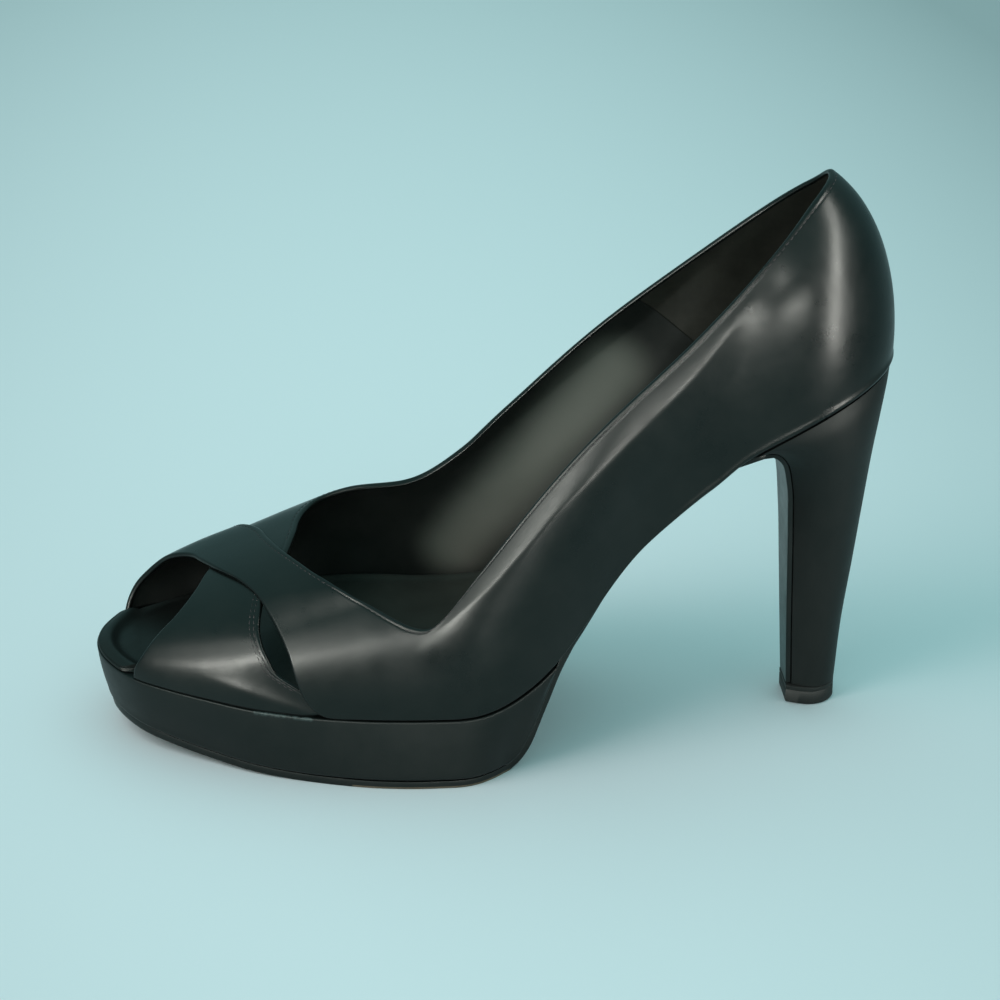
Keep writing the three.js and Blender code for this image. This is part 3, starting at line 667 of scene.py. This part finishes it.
def heel_values(height):
    """The heel's section at a share of its height."""
    row = [float(column(height)) for column in heel_columns]
    seat_back = SHOE_LENGTH / 2 - 0.3
    tip_back = SHOE_LENGTH / 2 - TIP_SET_FORWARD
    return dict(
        front=mix(seat_back - BREAST_LEAD, tip_back - TIP_LENGTH, row[0]),
        back=mix(seat_back, tip_back, row[1]),
        corner=row[2],
        half=mix(TIP_WIDTH, SEAT_WIDTH, row[3]) / 2,
        widest=row[4],
    )


def seat_height(y):
    return float(bed(share_at(y))) - 0.08


def heel_plan(section, inset=0.0, steps=30):
    """Half of the heel's section, from its breast round to its back."""
    points = []
    for i in range(steps + 1):
        t = (1 - math.cos(math.pi * i / steps)) / 2
        if t < section["widest"]:
            wide = mix(section["corner"], 1, math.sin(math.pi / 2 * t / section["widest"]))
        else:
            wide = math.sqrt(max(1 - ((t - section["widest"]) / (1 - section["widest"])) ** 2, 0.0))
        y = mix(section["front"] + inset, section["back"] - inset, t)
        points.append((max(section["half"] * wide - inset, 0.0), y))
    return points


def heel_ring(section, height_at, inset=0.0, breast=6):
    """Closed ring round the heel: across its breast, up one side, round the back and down the other."""
    plan = heel_plan(section, inset)
    x0, y0 = plan[0]
    front = [(x0 * u, y0) for u in np.linspace(-1, 1, breast + 1)[:-1]]
    ring = front + plan + [(-x, y) for x, y in plan[::-1][1:-1]]
    return [(x, y, height_at(y)) for x, y in ring]


def ring_solid(rings):
    """Points and faces of a closed solid through rings."""
    count = len(rings[0])
    points = np.array(rings).reshape(-1, 3)
    faces = [(i * count + j, i * count + (j + 1) % count, (i + 1) * count + (j + 1) % count, (i + 1) * count + j)
             for i in range(len(rings) - 1) for j in range(count)]
    faces += [tuple(range(count)), tuple((len(rings) - 1) * count + j for j in range(count))]
    return points, faces


def heel_mesh():
    base = TOP_PIECE_HEIGHT + CLEARANCE
    levels = np.concatenate([np.linspace(0, 0.86, 40), np.linspace(0.875, 1, 18)])
    rings = []
    for h in levels:
        section = heel_values(h)
        rings.append(heel_ring(section, lambda y, h=h: mix(base, seat_height(y), h)))
    return ring_solid(rings)


# height and inset of the heel tip's rings, with a fine groove near its top
TIP_RINGS = [(0.0, 0.7), (0.12, 0.3), (0.45, 0.0), (4.2, 0.0), (4.45, 0.18), (4.7, 0.0),
             (TOP_PIECE_HEIGHT - 0.15, 0.0), (TOP_PIECE_HEIGHT, 0.2)]


def top_piece_mesh():
    section = heel_values(0)
    section["front"] -= CLEARANCE + COVER_THICKNESS
    return ring_solid([heel_ring(section, lambda y, z=z: z, inset) for z, inset in TIP_RINGS])


TOE_ROWS, TREAD_ROWS, BREAST_ROWS = 26, 60, 60
BARE_FROM_ROW = 58


def outsole_mesh():
    """The outsole from the toe to the heel, then down the heel's breast, and which faces are bare."""
    rows = []
    inset = lambda s: float(margin_of(s) + lean_of(s))
    tip = inset(0) / SHOE_LENGTH
    shares = tip + (0.075 - tip) * (np.maximum(np.arange(TOE_ROWS), 0.25) / TOE_ROWS) ** 2
    shares = np.concatenate([shares, np.linspace(0.075, REAR_START, TREAD_ROWS)])
    for s in shares:
        sheet_row(rows, s, edge_at(-1, s, inset(s)), edge_at(1, s, inset(s)))
    for s in np.linspace(REAR_START, 0.795, 80)[1:]:
        half = float(shank_of(s) * local_width(s))
        t = float(ramp(s, 0.535, 0.6))
        sheet_row(rows, s, mix(edge_at(-1, s, inset(s)), -half, t), mix(edge_at(1, s, inset(s)), half, t))
    count = len(rows[0])
    base = TOP_PIECE_HEIGHT + CLEARANCE

    def breast(h):
        section = heel_values(min(h, 1))
        return section["front"], mix(base, seat_height(section["front"]), h), section["half"] * section["corner"]

    for i in range(BREAST_ROWS + 1):
        h = mix(0.975, 0.004, (i / BREAST_ROWS) ** 0.75)
        (y, z, half), above, below = breast(h), breast(min(h + 0.01, 1)), breast(max(h - 0.01, 0))
        dy, dz = below[0] - above[0], below[1] - above[1]
        size = math.hypot(dy, dz)
        oy, oz = dz / size, -dy / size
        half -= CLEARANCE
        near, far = CLEARANCE, CLEARANCE + COVER_THICKNESS
        at = lambda x, d: (x, y + oy * d, z + oz * d)
        middle = np.linspace(-half, half, SOLE_ACROSS + 1)[1:-1]
        r, cut = SOLE_ROUND, SOLE_ROUND * 0.3
        top = [at(x, near) for x in (-half + cut, *middle, half - cut)]
        right = [at(half, near + r), at(half, far - r), at(half - cut, far - cut)]
        low = [at(x, far) for x in (half - r, *middle[::-1], -half + r)]
        left = [at(-half + cut, far - cut), at(-half, far - r), at(-half, near + r)]
        rows.append(top + right + low + left)
    points, faces = ring_solid(rows)
    bottom, bottom_end = SOLE_ACROSS + 3, 2 * SOLE_ACROSS + 4
    bare = []
    for k in range(len(faces)):
        row, place = divmod(k, count)
        wider = 1 if row >= BARE_FROM_ROW else 0
        under = bottom - wider <= place <= bottom_end + wider
        bare.append(1 if row < TOE_ROWS + TREAD_ROWS - 1 and under else 0)
    return points, faces, bare


# Materials

def node_material(name):
    material = bpy.data.materials.new(name)
    material.use_nodes = True
    nodes, links = material.node_tree.nodes, material.node_tree.links
    shader = nodes["Principled BSDF"]
    return material, nodes, links, shader


def vector_math(nodes, links, operation, first, second):
    """A vector node between a socket and a socket or a fixed vector."""
    node = nodes.new("ShaderNodeVectorMath")
    node.operation = operation
    links.new(first, node.inputs[0])
    if isinstance(second, bpy.types.NodeSocket):
        links.new(second, node.inputs[1])
    else:
        node.inputs[1].default_value = second
    return node.outputs


def recolour(material, factor, colour):
    """Mix a colour, or another colour's socket, over what a material has."""
    nodes, links = material.node_tree.nodes, material.node_tree.links
    shader = nodes["Principled BSDF"]
    plain = shader.inputs["Base Color"].links[0].from_socket
    blend = nodes.new("ShaderNodeMix")
    blend.data_type = "RGBA"
    links.new(factor, blend.inputs["Factor"])
    links.new(plain, blend.inputs["A"])
    if isinstance(colour, bpy.types.NodeSocket):
        links.new(colour, blend.inputs["B"])
    else:
        blend.inputs["B"].default_value = (*colour, 1)
    links.new(blend.outputs["Result"], shader.inputs["Base Color"])


def noise(nodes, links, scale, detail=3.0, roughness=0.5, vector=None):
    n = nodes.new("ShaderNodeTexNoise")
    n.inputs["Scale"].default_value = scale
    n.inputs["Detail"].default_value = detail
    n.inputs["Roughness"].default_value = roughness
    if vector is not None:
        links.new(vector, n.inputs["Vector"])
    return n.outputs["Fac"]


def spread(nodes, links, value, low, high, start=0.3, end=0.7):
    r = nodes.new("ShaderNodeMapRange")
    r.inputs["From Min"].default_value = start
    r.inputs["From Max"].default_value = end
    r.inputs["To Min"].default_value = low
    r.inputs["To Max"].default_value = high
    links.new(value, r.inputs["Value"])
    return r.outputs["Result"]


def tint(nodes, links, value, colours):
    ramp_node = nodes.new("ShaderNodeValToRGB")
    elements = ramp_node.color_ramp.elements
    elements[0].position, elements[0].color = colours[0][0], (*colours[0][1], 1)
    elements[1].position, elements[1].color = colours[-1][0], (*colours[-1][1], 1)
    for position, colour in colours[1:-1]:
        e = elements.new(position)
        e.color = (*colour, 1)
    links.new(value, ramp_node.inputs["Fac"])
    return ramp_node.outputs["Color"]


def coordinates(nodes):
    return nodes.new("ShaderNodeTexCoord").outputs["Object"]


def bump(nodes, links, height, strength, distance, normal=None):
    b = nodes.new("ShaderNodeBump")
    b.inputs["Strength"].default_value = strength
    b.inputs["Distance"].default_value = distance
    links.new(height, b.inputs["Height"])
    if normal is not None:
        links.new(normal, b.inputs["Normal"])
    return b.outputs["Normal"]


def voronoi(nodes, links, vector, scale):
    v = nodes.new("ShaderNodeTexVoronoi")
    v.feature = "DISTANCE_TO_EDGE"
    v.inputs["Scale"].default_value = scale
    links.new(vector, v.inputs["Vector"])
    return v.outputs["Distance"]


PORE_SCALE, COAT_ROUGHNESS = 1500, 0.25


def leather(name, dark, light, roughness, grain=0.25, coat=0.0, shine=0.26, mottle=60):
    """Smooth finished leather: fine pores, soft mottling, a light finish coat."""
    material, nodes, links, shader = node_material(name)
    where = coordinates(nodes)
    patches = noise(nodes, links, mottle, 4, 0.55, where)
    cloud = noise(nodes, links, mottle * 5, 5, 0.6, where)
    links.new(tint(nodes, links, patches, [(0.3, dark), (0.72, light)]), shader.inputs["Base Color"])
    blend_node = nodes.new("ShaderNodeMath")
    blend_node.operation = "MULTIPLY_ADD"
    links.new(cloud, blend_node.inputs[0])
    blend_node.inputs[1].default_value = 0.45
    links.new(patches, blend_node.inputs[2])
    links.new(spread(nodes, links, blend_node.outputs[0], *roughness, 0.5, 0.95), shader.inputs["Roughness"])
    pores = voronoi(nodes, links, where, PORE_SCALE)
    fine = bump(nodes, links, pores, grain, 0.00008)
    soft = bump(nodes, links, noise(nodes, links, 220, 3, 0.5, where), 0.12, 0.0004, fine)
    links.new(soft, shader.inputs["Normal"])
    shader.inputs["Coat Weight"].default_value = coat
    shader.inputs["Coat Roughness"].default_value = COAT_ROUGHNESS
    shader.inputs["Specular IOR Level"].default_value = shine
    shader.inputs["Specular Tint"].default_value = (0.80, 1.0, 0.93, 1)
    return material


DEEP, DEEP_WORN = (0.0022, 0.0030, 0.0029), (0.0042, 0.0052, 0.0050)
upper_leather = leather("upper_leather", (0.0028, 0.0032, 0.0031), (0.0062, 0.0064, 0.0058), (0.26, 0.36),
                        grain=0.10, coat=0.03)
platform_leather = leather("platform_leather", DEEP, DEEP_WORN, (0.40, 0.52), shine=0.25)
heel_leather = leather("heel_leather", DEEP, DEEP_WORN, (0.48, 0.60), shine=0.22)
insole_leather = leather("insole_leather", (0.024, 0.025, 0.021), (0.040, 0.041, 0.034), (0.42, 0.54),
                         grain=0.3, shine=0.2)
edge_leather = leather("edge_leather", (0.0028, 0.0032, 0.0031), (0.0060, 0.0062, 0.0058), (0.32, 0.45), coat=0.04)
sole_leather = leather("sole_leather", (0.110, 0.072, 0.046), (0.165, 0.112, 0.074), (0.55, 0.72),
                       grain=0.6, mottle=90)
rubber = leather("tip_rubber", (0.0030, 0.0034, 0.0034), (0.0060, 0.0064, 0.0062), (0.55, 0.7), grain=0.5, shine=0.3)
# Colour of the painted shade on the sock's front, under the bands
PAINTED_TOE_SHADE = (0.0012, 0.0016, 0.0015)


def paint_toe_shade():
    """Painted shade: the sock is drawn nearly black in front, where it lies in the shadow under the bands."""
    nodes, links = insole_leather.node_tree.nodes, insole_leather.node_tree.links
    split = nodes.new("ShaderNodeSeparateXYZ")
    links.new(coordinates(nodes), split.inputs[0])
    recolour(insole_leather, spread(nodes, links, split.outputs["Y"], 0.90, 0, -0.085, -0.045), PAINTED_TOE_SHADE)


paint_toe_shade()


# A mask along a line. It draws the painted sheen on the lining and the real rubbed scuff on the platform.
def wear_and_sheen_band(nodes, links, where, first, last, width):
    """Strongest on the line between two places and gone a width away from it."""
    first, last = Vector(first), Vector(last)
    line = last - first
    from_first = vector_math(nodes, links, "SUBTRACT", where, first)["Vector"]
    part = vector_math(nodes, links, "DOT_PRODUCT", from_first, line / line.length_squared)["Value"]
    held = nodes.new("ShaderNodeClamp")
    links.new(part, held.inputs["Value"])
    nearest = nodes.new("ShaderNodeVectorMath")
    nearest.operation = "SCALE"
    nearest.inputs[0].default_value = line
    links.new(held.outputs["Result"], nearest.inputs["Scale"])
    away = vector_math(nodes, links, "DISTANCE", from_first, nearest.outputs["Vector"])["Value"]
    near = nodes.new("ShaderNodeMapRange")
    near.interpolation_type = "SMOOTHERSTEP"
    near.inputs["From Min"].default_value = width
    near.inputs["From Max"].default_value = 0
    links.new(away, near.inputs["Value"])
    return near.outputs["Result"]


# Ends of the lining's seam and of the painted sheen band on the inner wall, by share and girth
SEAM_HIGH, SEAM_LOW = (0.702, -0.625), (0.779, -0.877)
SHEEN_ENDS, SHEEN_WIDTH = ((0.47, -0.93), (0.67, -0.79)), 0.0165


def lining_material():
    """Dark forepart lining and browner heel lining, which meet at a sloping seam."""
    high, low = skin(*SEAM_HIGH) * MM, skin(*SEAM_LOW) * MM
    material = leather("lining_leather", (0.0110, 0.0115, 0.0095), (0.0190, 0.0190, 0.0160), (0.46, 0.58),
                       grain=0.3, coat=0.02)
    nodes, links = material.node_tree.nodes, material.node_tree.links
    shader = nodes["Principled BSDF"]
    where = coordinates(nodes)
    run, drop = low[1] - high[1], low[2] - high[2]
    across = Vector((0, -drop, run)).normalized()
    place = vector_math(nodes, links, "DOT_PRODUCT", where, across)["Value"]
    start = across.dot(Vector(high))
    mask = spread(nodes, links, place, 0, 1, start - 0.0002, start + 0.0002)
    # Painted sheen: a light warm band painted into the inner wall's lining colour where the leather catches the light
    painted_sheen = wear_and_sheen_band(nodes, links, where, *(skin(*end) * MM for end in SHEEN_ENDS), SHEEN_WIDTH)
    recolour(material, spread(nodes, links, painted_sheen, 0, 0.85, 0, 1), (0.270, 0.240, 0.195))
    patches = noise(nodes, links, 130, 4, 0.6, where)
    heel_tone = tint(nodes, links, patches, [(0.3, (0.030, 0.024, 0.0175)), (0.7, (0.048, 0.039, 0.029))])
    recolour(material, mask, heel_tone)
    pores = shader.inputs["Normal"].links[0].from_socket
    links.new(bump(nodes, links, mask, 0.8, 0.0004, pores), shader.inputs["Normal"])
    return material


lining_leather = lining_material()


def thread_material():
    material, nodes, links, shader = node_material("thread")
    where = coordinates(nodes)
    twist = nodes.new("ShaderNodeTexWave")
    twist.inputs["Scale"].default_value = 1400
    links.new(where, twist.inputs["Vector"])
    links.new(tint(nodes, links, twist.outputs["Fac"], [(0.2, (0.004, 0.004, 0.004)), (0.8, (0.009, 0.009, 0.0085))]),
              shader.inputs["Base Color"])
    links.new(bump(nodes, links, twist.outputs["Fac"], 0.4, 0.00005), shader.inputs["Normal"])
    shader.inputs["Roughness"].default_value = 0.5
    return material


thread = thread_material()

# Pieces

points, faces, slots = upper_mesh()
upper = make_object("upper_leather", points, faces, [upper_leather, lining_leather], slots)
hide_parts("upper")

points, faces = insole_mesh()
insole = make_object("insole_sock", points, faces, [insole_leather], sharp=50)
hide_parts("insole")

SCUFF_SHARES = (0.195, 0.262)


def scuff():
    """The rubbed place on the platform's edge by the outer band's foot."""
    nodes, links = platform_leather.node_tree.nodes, platform_leather.node_tree.links
    ends = [Vector((edge_at(1, s, 0.1), along(s), float(bed(s)) - 0.5)) * MM for s in SCUFF_SHARES]
    where = coordinates(nodes)
    rubbed = wear_and_sheen_band(nodes, links, where, *ends, 0.0011)
    broken = nodes.new("ShaderNodeMath")
    broken.operation = "MULTIPLY"
    links.new(rubbed, broken.inputs[0])
    links.new(spread(nodes, links, noise(nodes, links, 900, 3, 0.6, where), 0.1, 1, 0.4, 0.6), broken.inputs[1])
    recolour(platform_leather, broken.outputs[0], (0.075, 0.095, 0.090))


scuff()

points, faces = platform_mesh()
platform = make_object("platform_wrap", points, faces, [platform_leather], sharp=50)
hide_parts("platform")

points, faces, slots = outsole_mesh()
outsole = make_object("outsole_leather", points, faces, [edge_leather, sole_leather], slots, sharp=50)
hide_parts("outsole")

points, faces = heel_mesh()
heel = make_object("heel_wrap", points, faces, [heel_leather], sharp=45)
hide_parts("heel")

points, faces = top_piece_mesh()
top_piece = make_object("heel_tip", points, faces, [rubber], sharp=45)
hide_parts("top_piece")


# Stitching along the open edges of the bands and the collar

def stitch_rows(surface, first, last, inset=STITCH_IN):
    """Points and normals along a strip's rear stitch line, between two places along the strip."""
    outer, _, _, normal, info = surface
    line, normals = [], []
    for i, at in enumerate(info["at"][:, 0]):
        if first <= at <= last:
            row = info["rear"][i, ::-1]
            line.append([np.interp(inset, row, outer[i, ::-1, k]) for k in range(3)])
            normals.append([np.interp(inset, row, normal[i, ::-1, k]) for k in range(3)])
    return np.array(line), unit(np.array(normals))


STITCH_PITCH, STITCH_LENGTH, THREAD_RADIUS = 1.9, 1.45, 0.12


def stitch_mesh(rows):
    """A short bowed thread for each stitch."""
    points, faces = [], []
    ring, spans = 6, 5
    for line, normals in rows:
        steps = np.linalg.norm(np.diff(line, axis=0), axis=1)
        total = np.concatenate([[0], np.cumsum(steps)])
        for start in np.arange(1.0, total[-1] - STITCH_PITCH, STITCH_PITCH):
            along_it = start + STITCH_LENGTH * np.linspace(0, 1, spans)
            centre = np.stack([np.interp(along_it, total, line[:, k]) for k in range(3)], -1)
            up = unit(np.stack([np.interp(along_it, total, normals[:, k]) for k in range(3)], -1))
            forward = unit(np.gradient(centre, axis=0))
            side = np.cross(forward, up)
            u = np.linspace(-1, 1, spans)
            lift = 0.05 - 0.12 * u**2
            width = THREAD_RADIUS * np.sqrt(np.maximum(1 - 0.75 * u**4, 0.05))
            base = len(points)
            for k in range(spans):
                for a in np.arange(ring) * 2 * np.pi / ring:
                    high, wide = lift[k] + width[k] * math.sin(a), width[k] * math.cos(a)
                    points.append(centre[k] + up[k] * high + side[k] * wide)
            for k in range(spans - 1):
                for j in range(ring):
                    a, b = base + k * ring + j, base + k * ring + (j + 1) % ring
                    faces.append((a, b, b + ring, a + ring))
            faces.append(tuple(base + j for j in range(ring)))
            faces.append(tuple(base + (spans - 1) * ring + j for j in range(ring)))
    return points, faces


over_lines = [stitch_rows(over, 0.4, 35.9)]
under_lines = [stitch_rows(under, 9.6, 34.9), stitch_rows(under, 0.9, 7.4),
               stitch_rows(under, 0.9, 7.4, SECOND_STITCH_IN)]
for name, rows in (("stitches_over", over_lines), ("stitches_under", under_lines)):
    points, faces = stitch_mesh(rows)
    stitches = make_object(name, points, faces, [thread])


# Floor, light and camera

# Centre and reach of the pool of light painted into the floor's colour
LIGHT_POOL_CENTRE, LIGHT_POOL_REACH = (-0.02, 0.0, 0), (0.60, 0.215, 1)


def floor_material():
    """Pale blue paper with a painted pool of light: lighter round the shoe, darker far from it."""
    material, nodes, links, shader = node_material("floor_paper")
    where = coordinates(nodes)
    moved = vector_math(nodes, links, "SUBTRACT", where, LIGHT_POOL_CENTRE)["Vector"]
    scaled = vector_math(nodes, links, "DIVIDE", moved, LIGHT_POOL_REACH)["Vector"]
    square = vector_math(nodes, links, "DOT_PRODUCT", scaled, scaled)["Value"]
    far = spread(nodes, links, square, 0, 1, 0.1, 2.6)
    # Painted light: the paper's colour darkens away from the shoe, standing in for the light's fall-off
    paper = tint(nodes, links, far, [(0, (0.87, 0.87, 0.88)), (1, (0.43, 0.46, 0.465))])
    links.new(paper, shader.inputs["Base Color"])
    shader.inputs["Roughness"].default_value = 0.85
    shader.inputs["Specular IOR Level"].default_value = 0.2
    return material


floor_mesh = bpy.data.meshes.new("floor")
floor_mesh.from_pydata([(-4, -4, 0), (4, -4, 0), (4, 4, 0), (-4, 4, 0)], [], [(0, 1, 2, 3)])
floor_mesh.materials.append(floor_material())
floor = bpy.data.objects.new("floor", floor_mesh)
bpy.context.scene.collection.objects.link(floor)

world = bpy.data.worlds.new("studio")
bpy.context.scene.world = world
world.use_nodes = True
sky_nodes, sky_links = world.node_tree.nodes, world.node_tree.links
split = sky_nodes.new("ShaderNodeSeparateXYZ")
sky_links.new(sky_nodes.new("ShaderNodeTexCoord").outputs["Generated"], split.inputs[0])
height = spread(sky_nodes, sky_links, split.outputs["Z"], 0, 1, 0.05, 0.75)
sky = tint(sky_nodes, sky_links, height, [(0, (0.19, 0.36, 0.37)), (1, (0.40, 0.745, 0.755))])
sky_links.new(sky, sky_nodes["Background"].inputs["Color"])
sky_nodes["Background"].inputs["Strength"].default_value = 1.0
bpy.context.scene.view_settings.view_transform = "Standard"


def toward(azimuth, elevation, distance, start=(0, 0, 0)):
    """A place seen from a point at an azimuth and elevation, in metres."""
    a, e = math.radians(azimuth), math.radians(elevation)
    return Vector(start) + Vector((math.sin(a) * math.cos(e), -math.cos(a) * math.cos(e), math.sin(e))) * distance


def strip_light(name, first, last, target, width, power, colour=(1.0, 0.83, 0.82), streak=True):
    """A long soft light between two places, turned to a target. A streak lights only reflections."""
    first, last = Vector(first), Vector(last)
    middle = (first + last) / 2
    along_it = (last - first).normalized()
    facing = Vector(target) - middle
    facing = (facing - along_it * facing.dot(along_it)).normalized()
    data = bpy.data.lights.new(name, "AREA")
    data.shape = "RECTANGLE"
    data.size, data.size_y = (last - first).length, width
    data.energy = power
    data.color = colour
    light = bpy.data.objects.new(name, data)
    bpy.context.scene.collection.objects.link(light)
    turned = Matrix((along_it, along_it.cross(facing), -facing)).transposed()
    if turned.determinant() < 0:
        turned = Matrix((-along_it, along_it.cross(facing), -facing)).transposed()
    light.matrix_world = Matrix.Translation(middle) @ turned.to_4x4()
    light.visible_camera = False
    if streak:
        light.visible_diffuse = False
    else:
        light.visible_glossy = False


strip_light("key", (0.25, -1.7, 1.55), (0.95, -0.9, 1.55), (0, 0, 0.05), 1.5, 14.5, (1.0, 0.87, 0.89), streak=False)
strip_light("window", toward(34, 11, 1.5), toward(84, 27, 1.5), (0, 0, 0.05), 0.09, 17.0)
strip_light("low_window", toward(33, 13, 1.2), toward(50, 14, 1.2), (0.03, -0.077, 0.036), 0.075, 6.0)
strip_light("soft_window", toward(20, 31, 1.3), toward(62, 31, 1.3), (0.02, -0.07, 0.04), 0.36, 5.0)
strip_light("ridge", toward(88, 2, 0.7, (0.03, 0.045, 0.11)), toward(111, -1, 0.7, (0.03, 0.045, 0.11)),
            (0.03, 0.045, 0.11), 0.045, 2.4)
strip_light("heel", (0.124, 0.231, 0.339), (0.194, 0.256, 0.035), (0.02, 0.094, 0.145), 0.034, 1.2)

camera_data = bpy.data.cameras.new("camera")
camera = bpy.data.objects.new("camera", camera_data)
bpy.context.scene.collection.objects.link(camera)
bpy.context.scene.camera = camera
SENSOR, FOCAL_PIXELS, PICTURE_PIXELS = 36, 3355.2, 1000
CAMERA_AT = Vector((0.86122, -0.08389, 0.51781))
AZIMUTH, ELEVATION, roll = 84.24, 27.34, math.radians(-0.16)
camera_data.sensor_width = SENSOR
camera_data.lens = FOCAL_PIXELS / PICTURE_PIXELS * SENSOR
camera_data.clip_start = 0.01
back = toward(AZIMUTH, ELEVATION, 1)
level = toward(AZIMUTH + 90, 0, 1)
upward = back.cross(level)
right = level * math.cos(roll) + upward * math.sin(roll)
up = upward * math.cos(roll) - level * math.sin(roll)
turned = Matrix((right, up, back)).transposed().to_4x4()
camera.matrix_world = Matrix.Translation(CAMERA_AT) @ turned
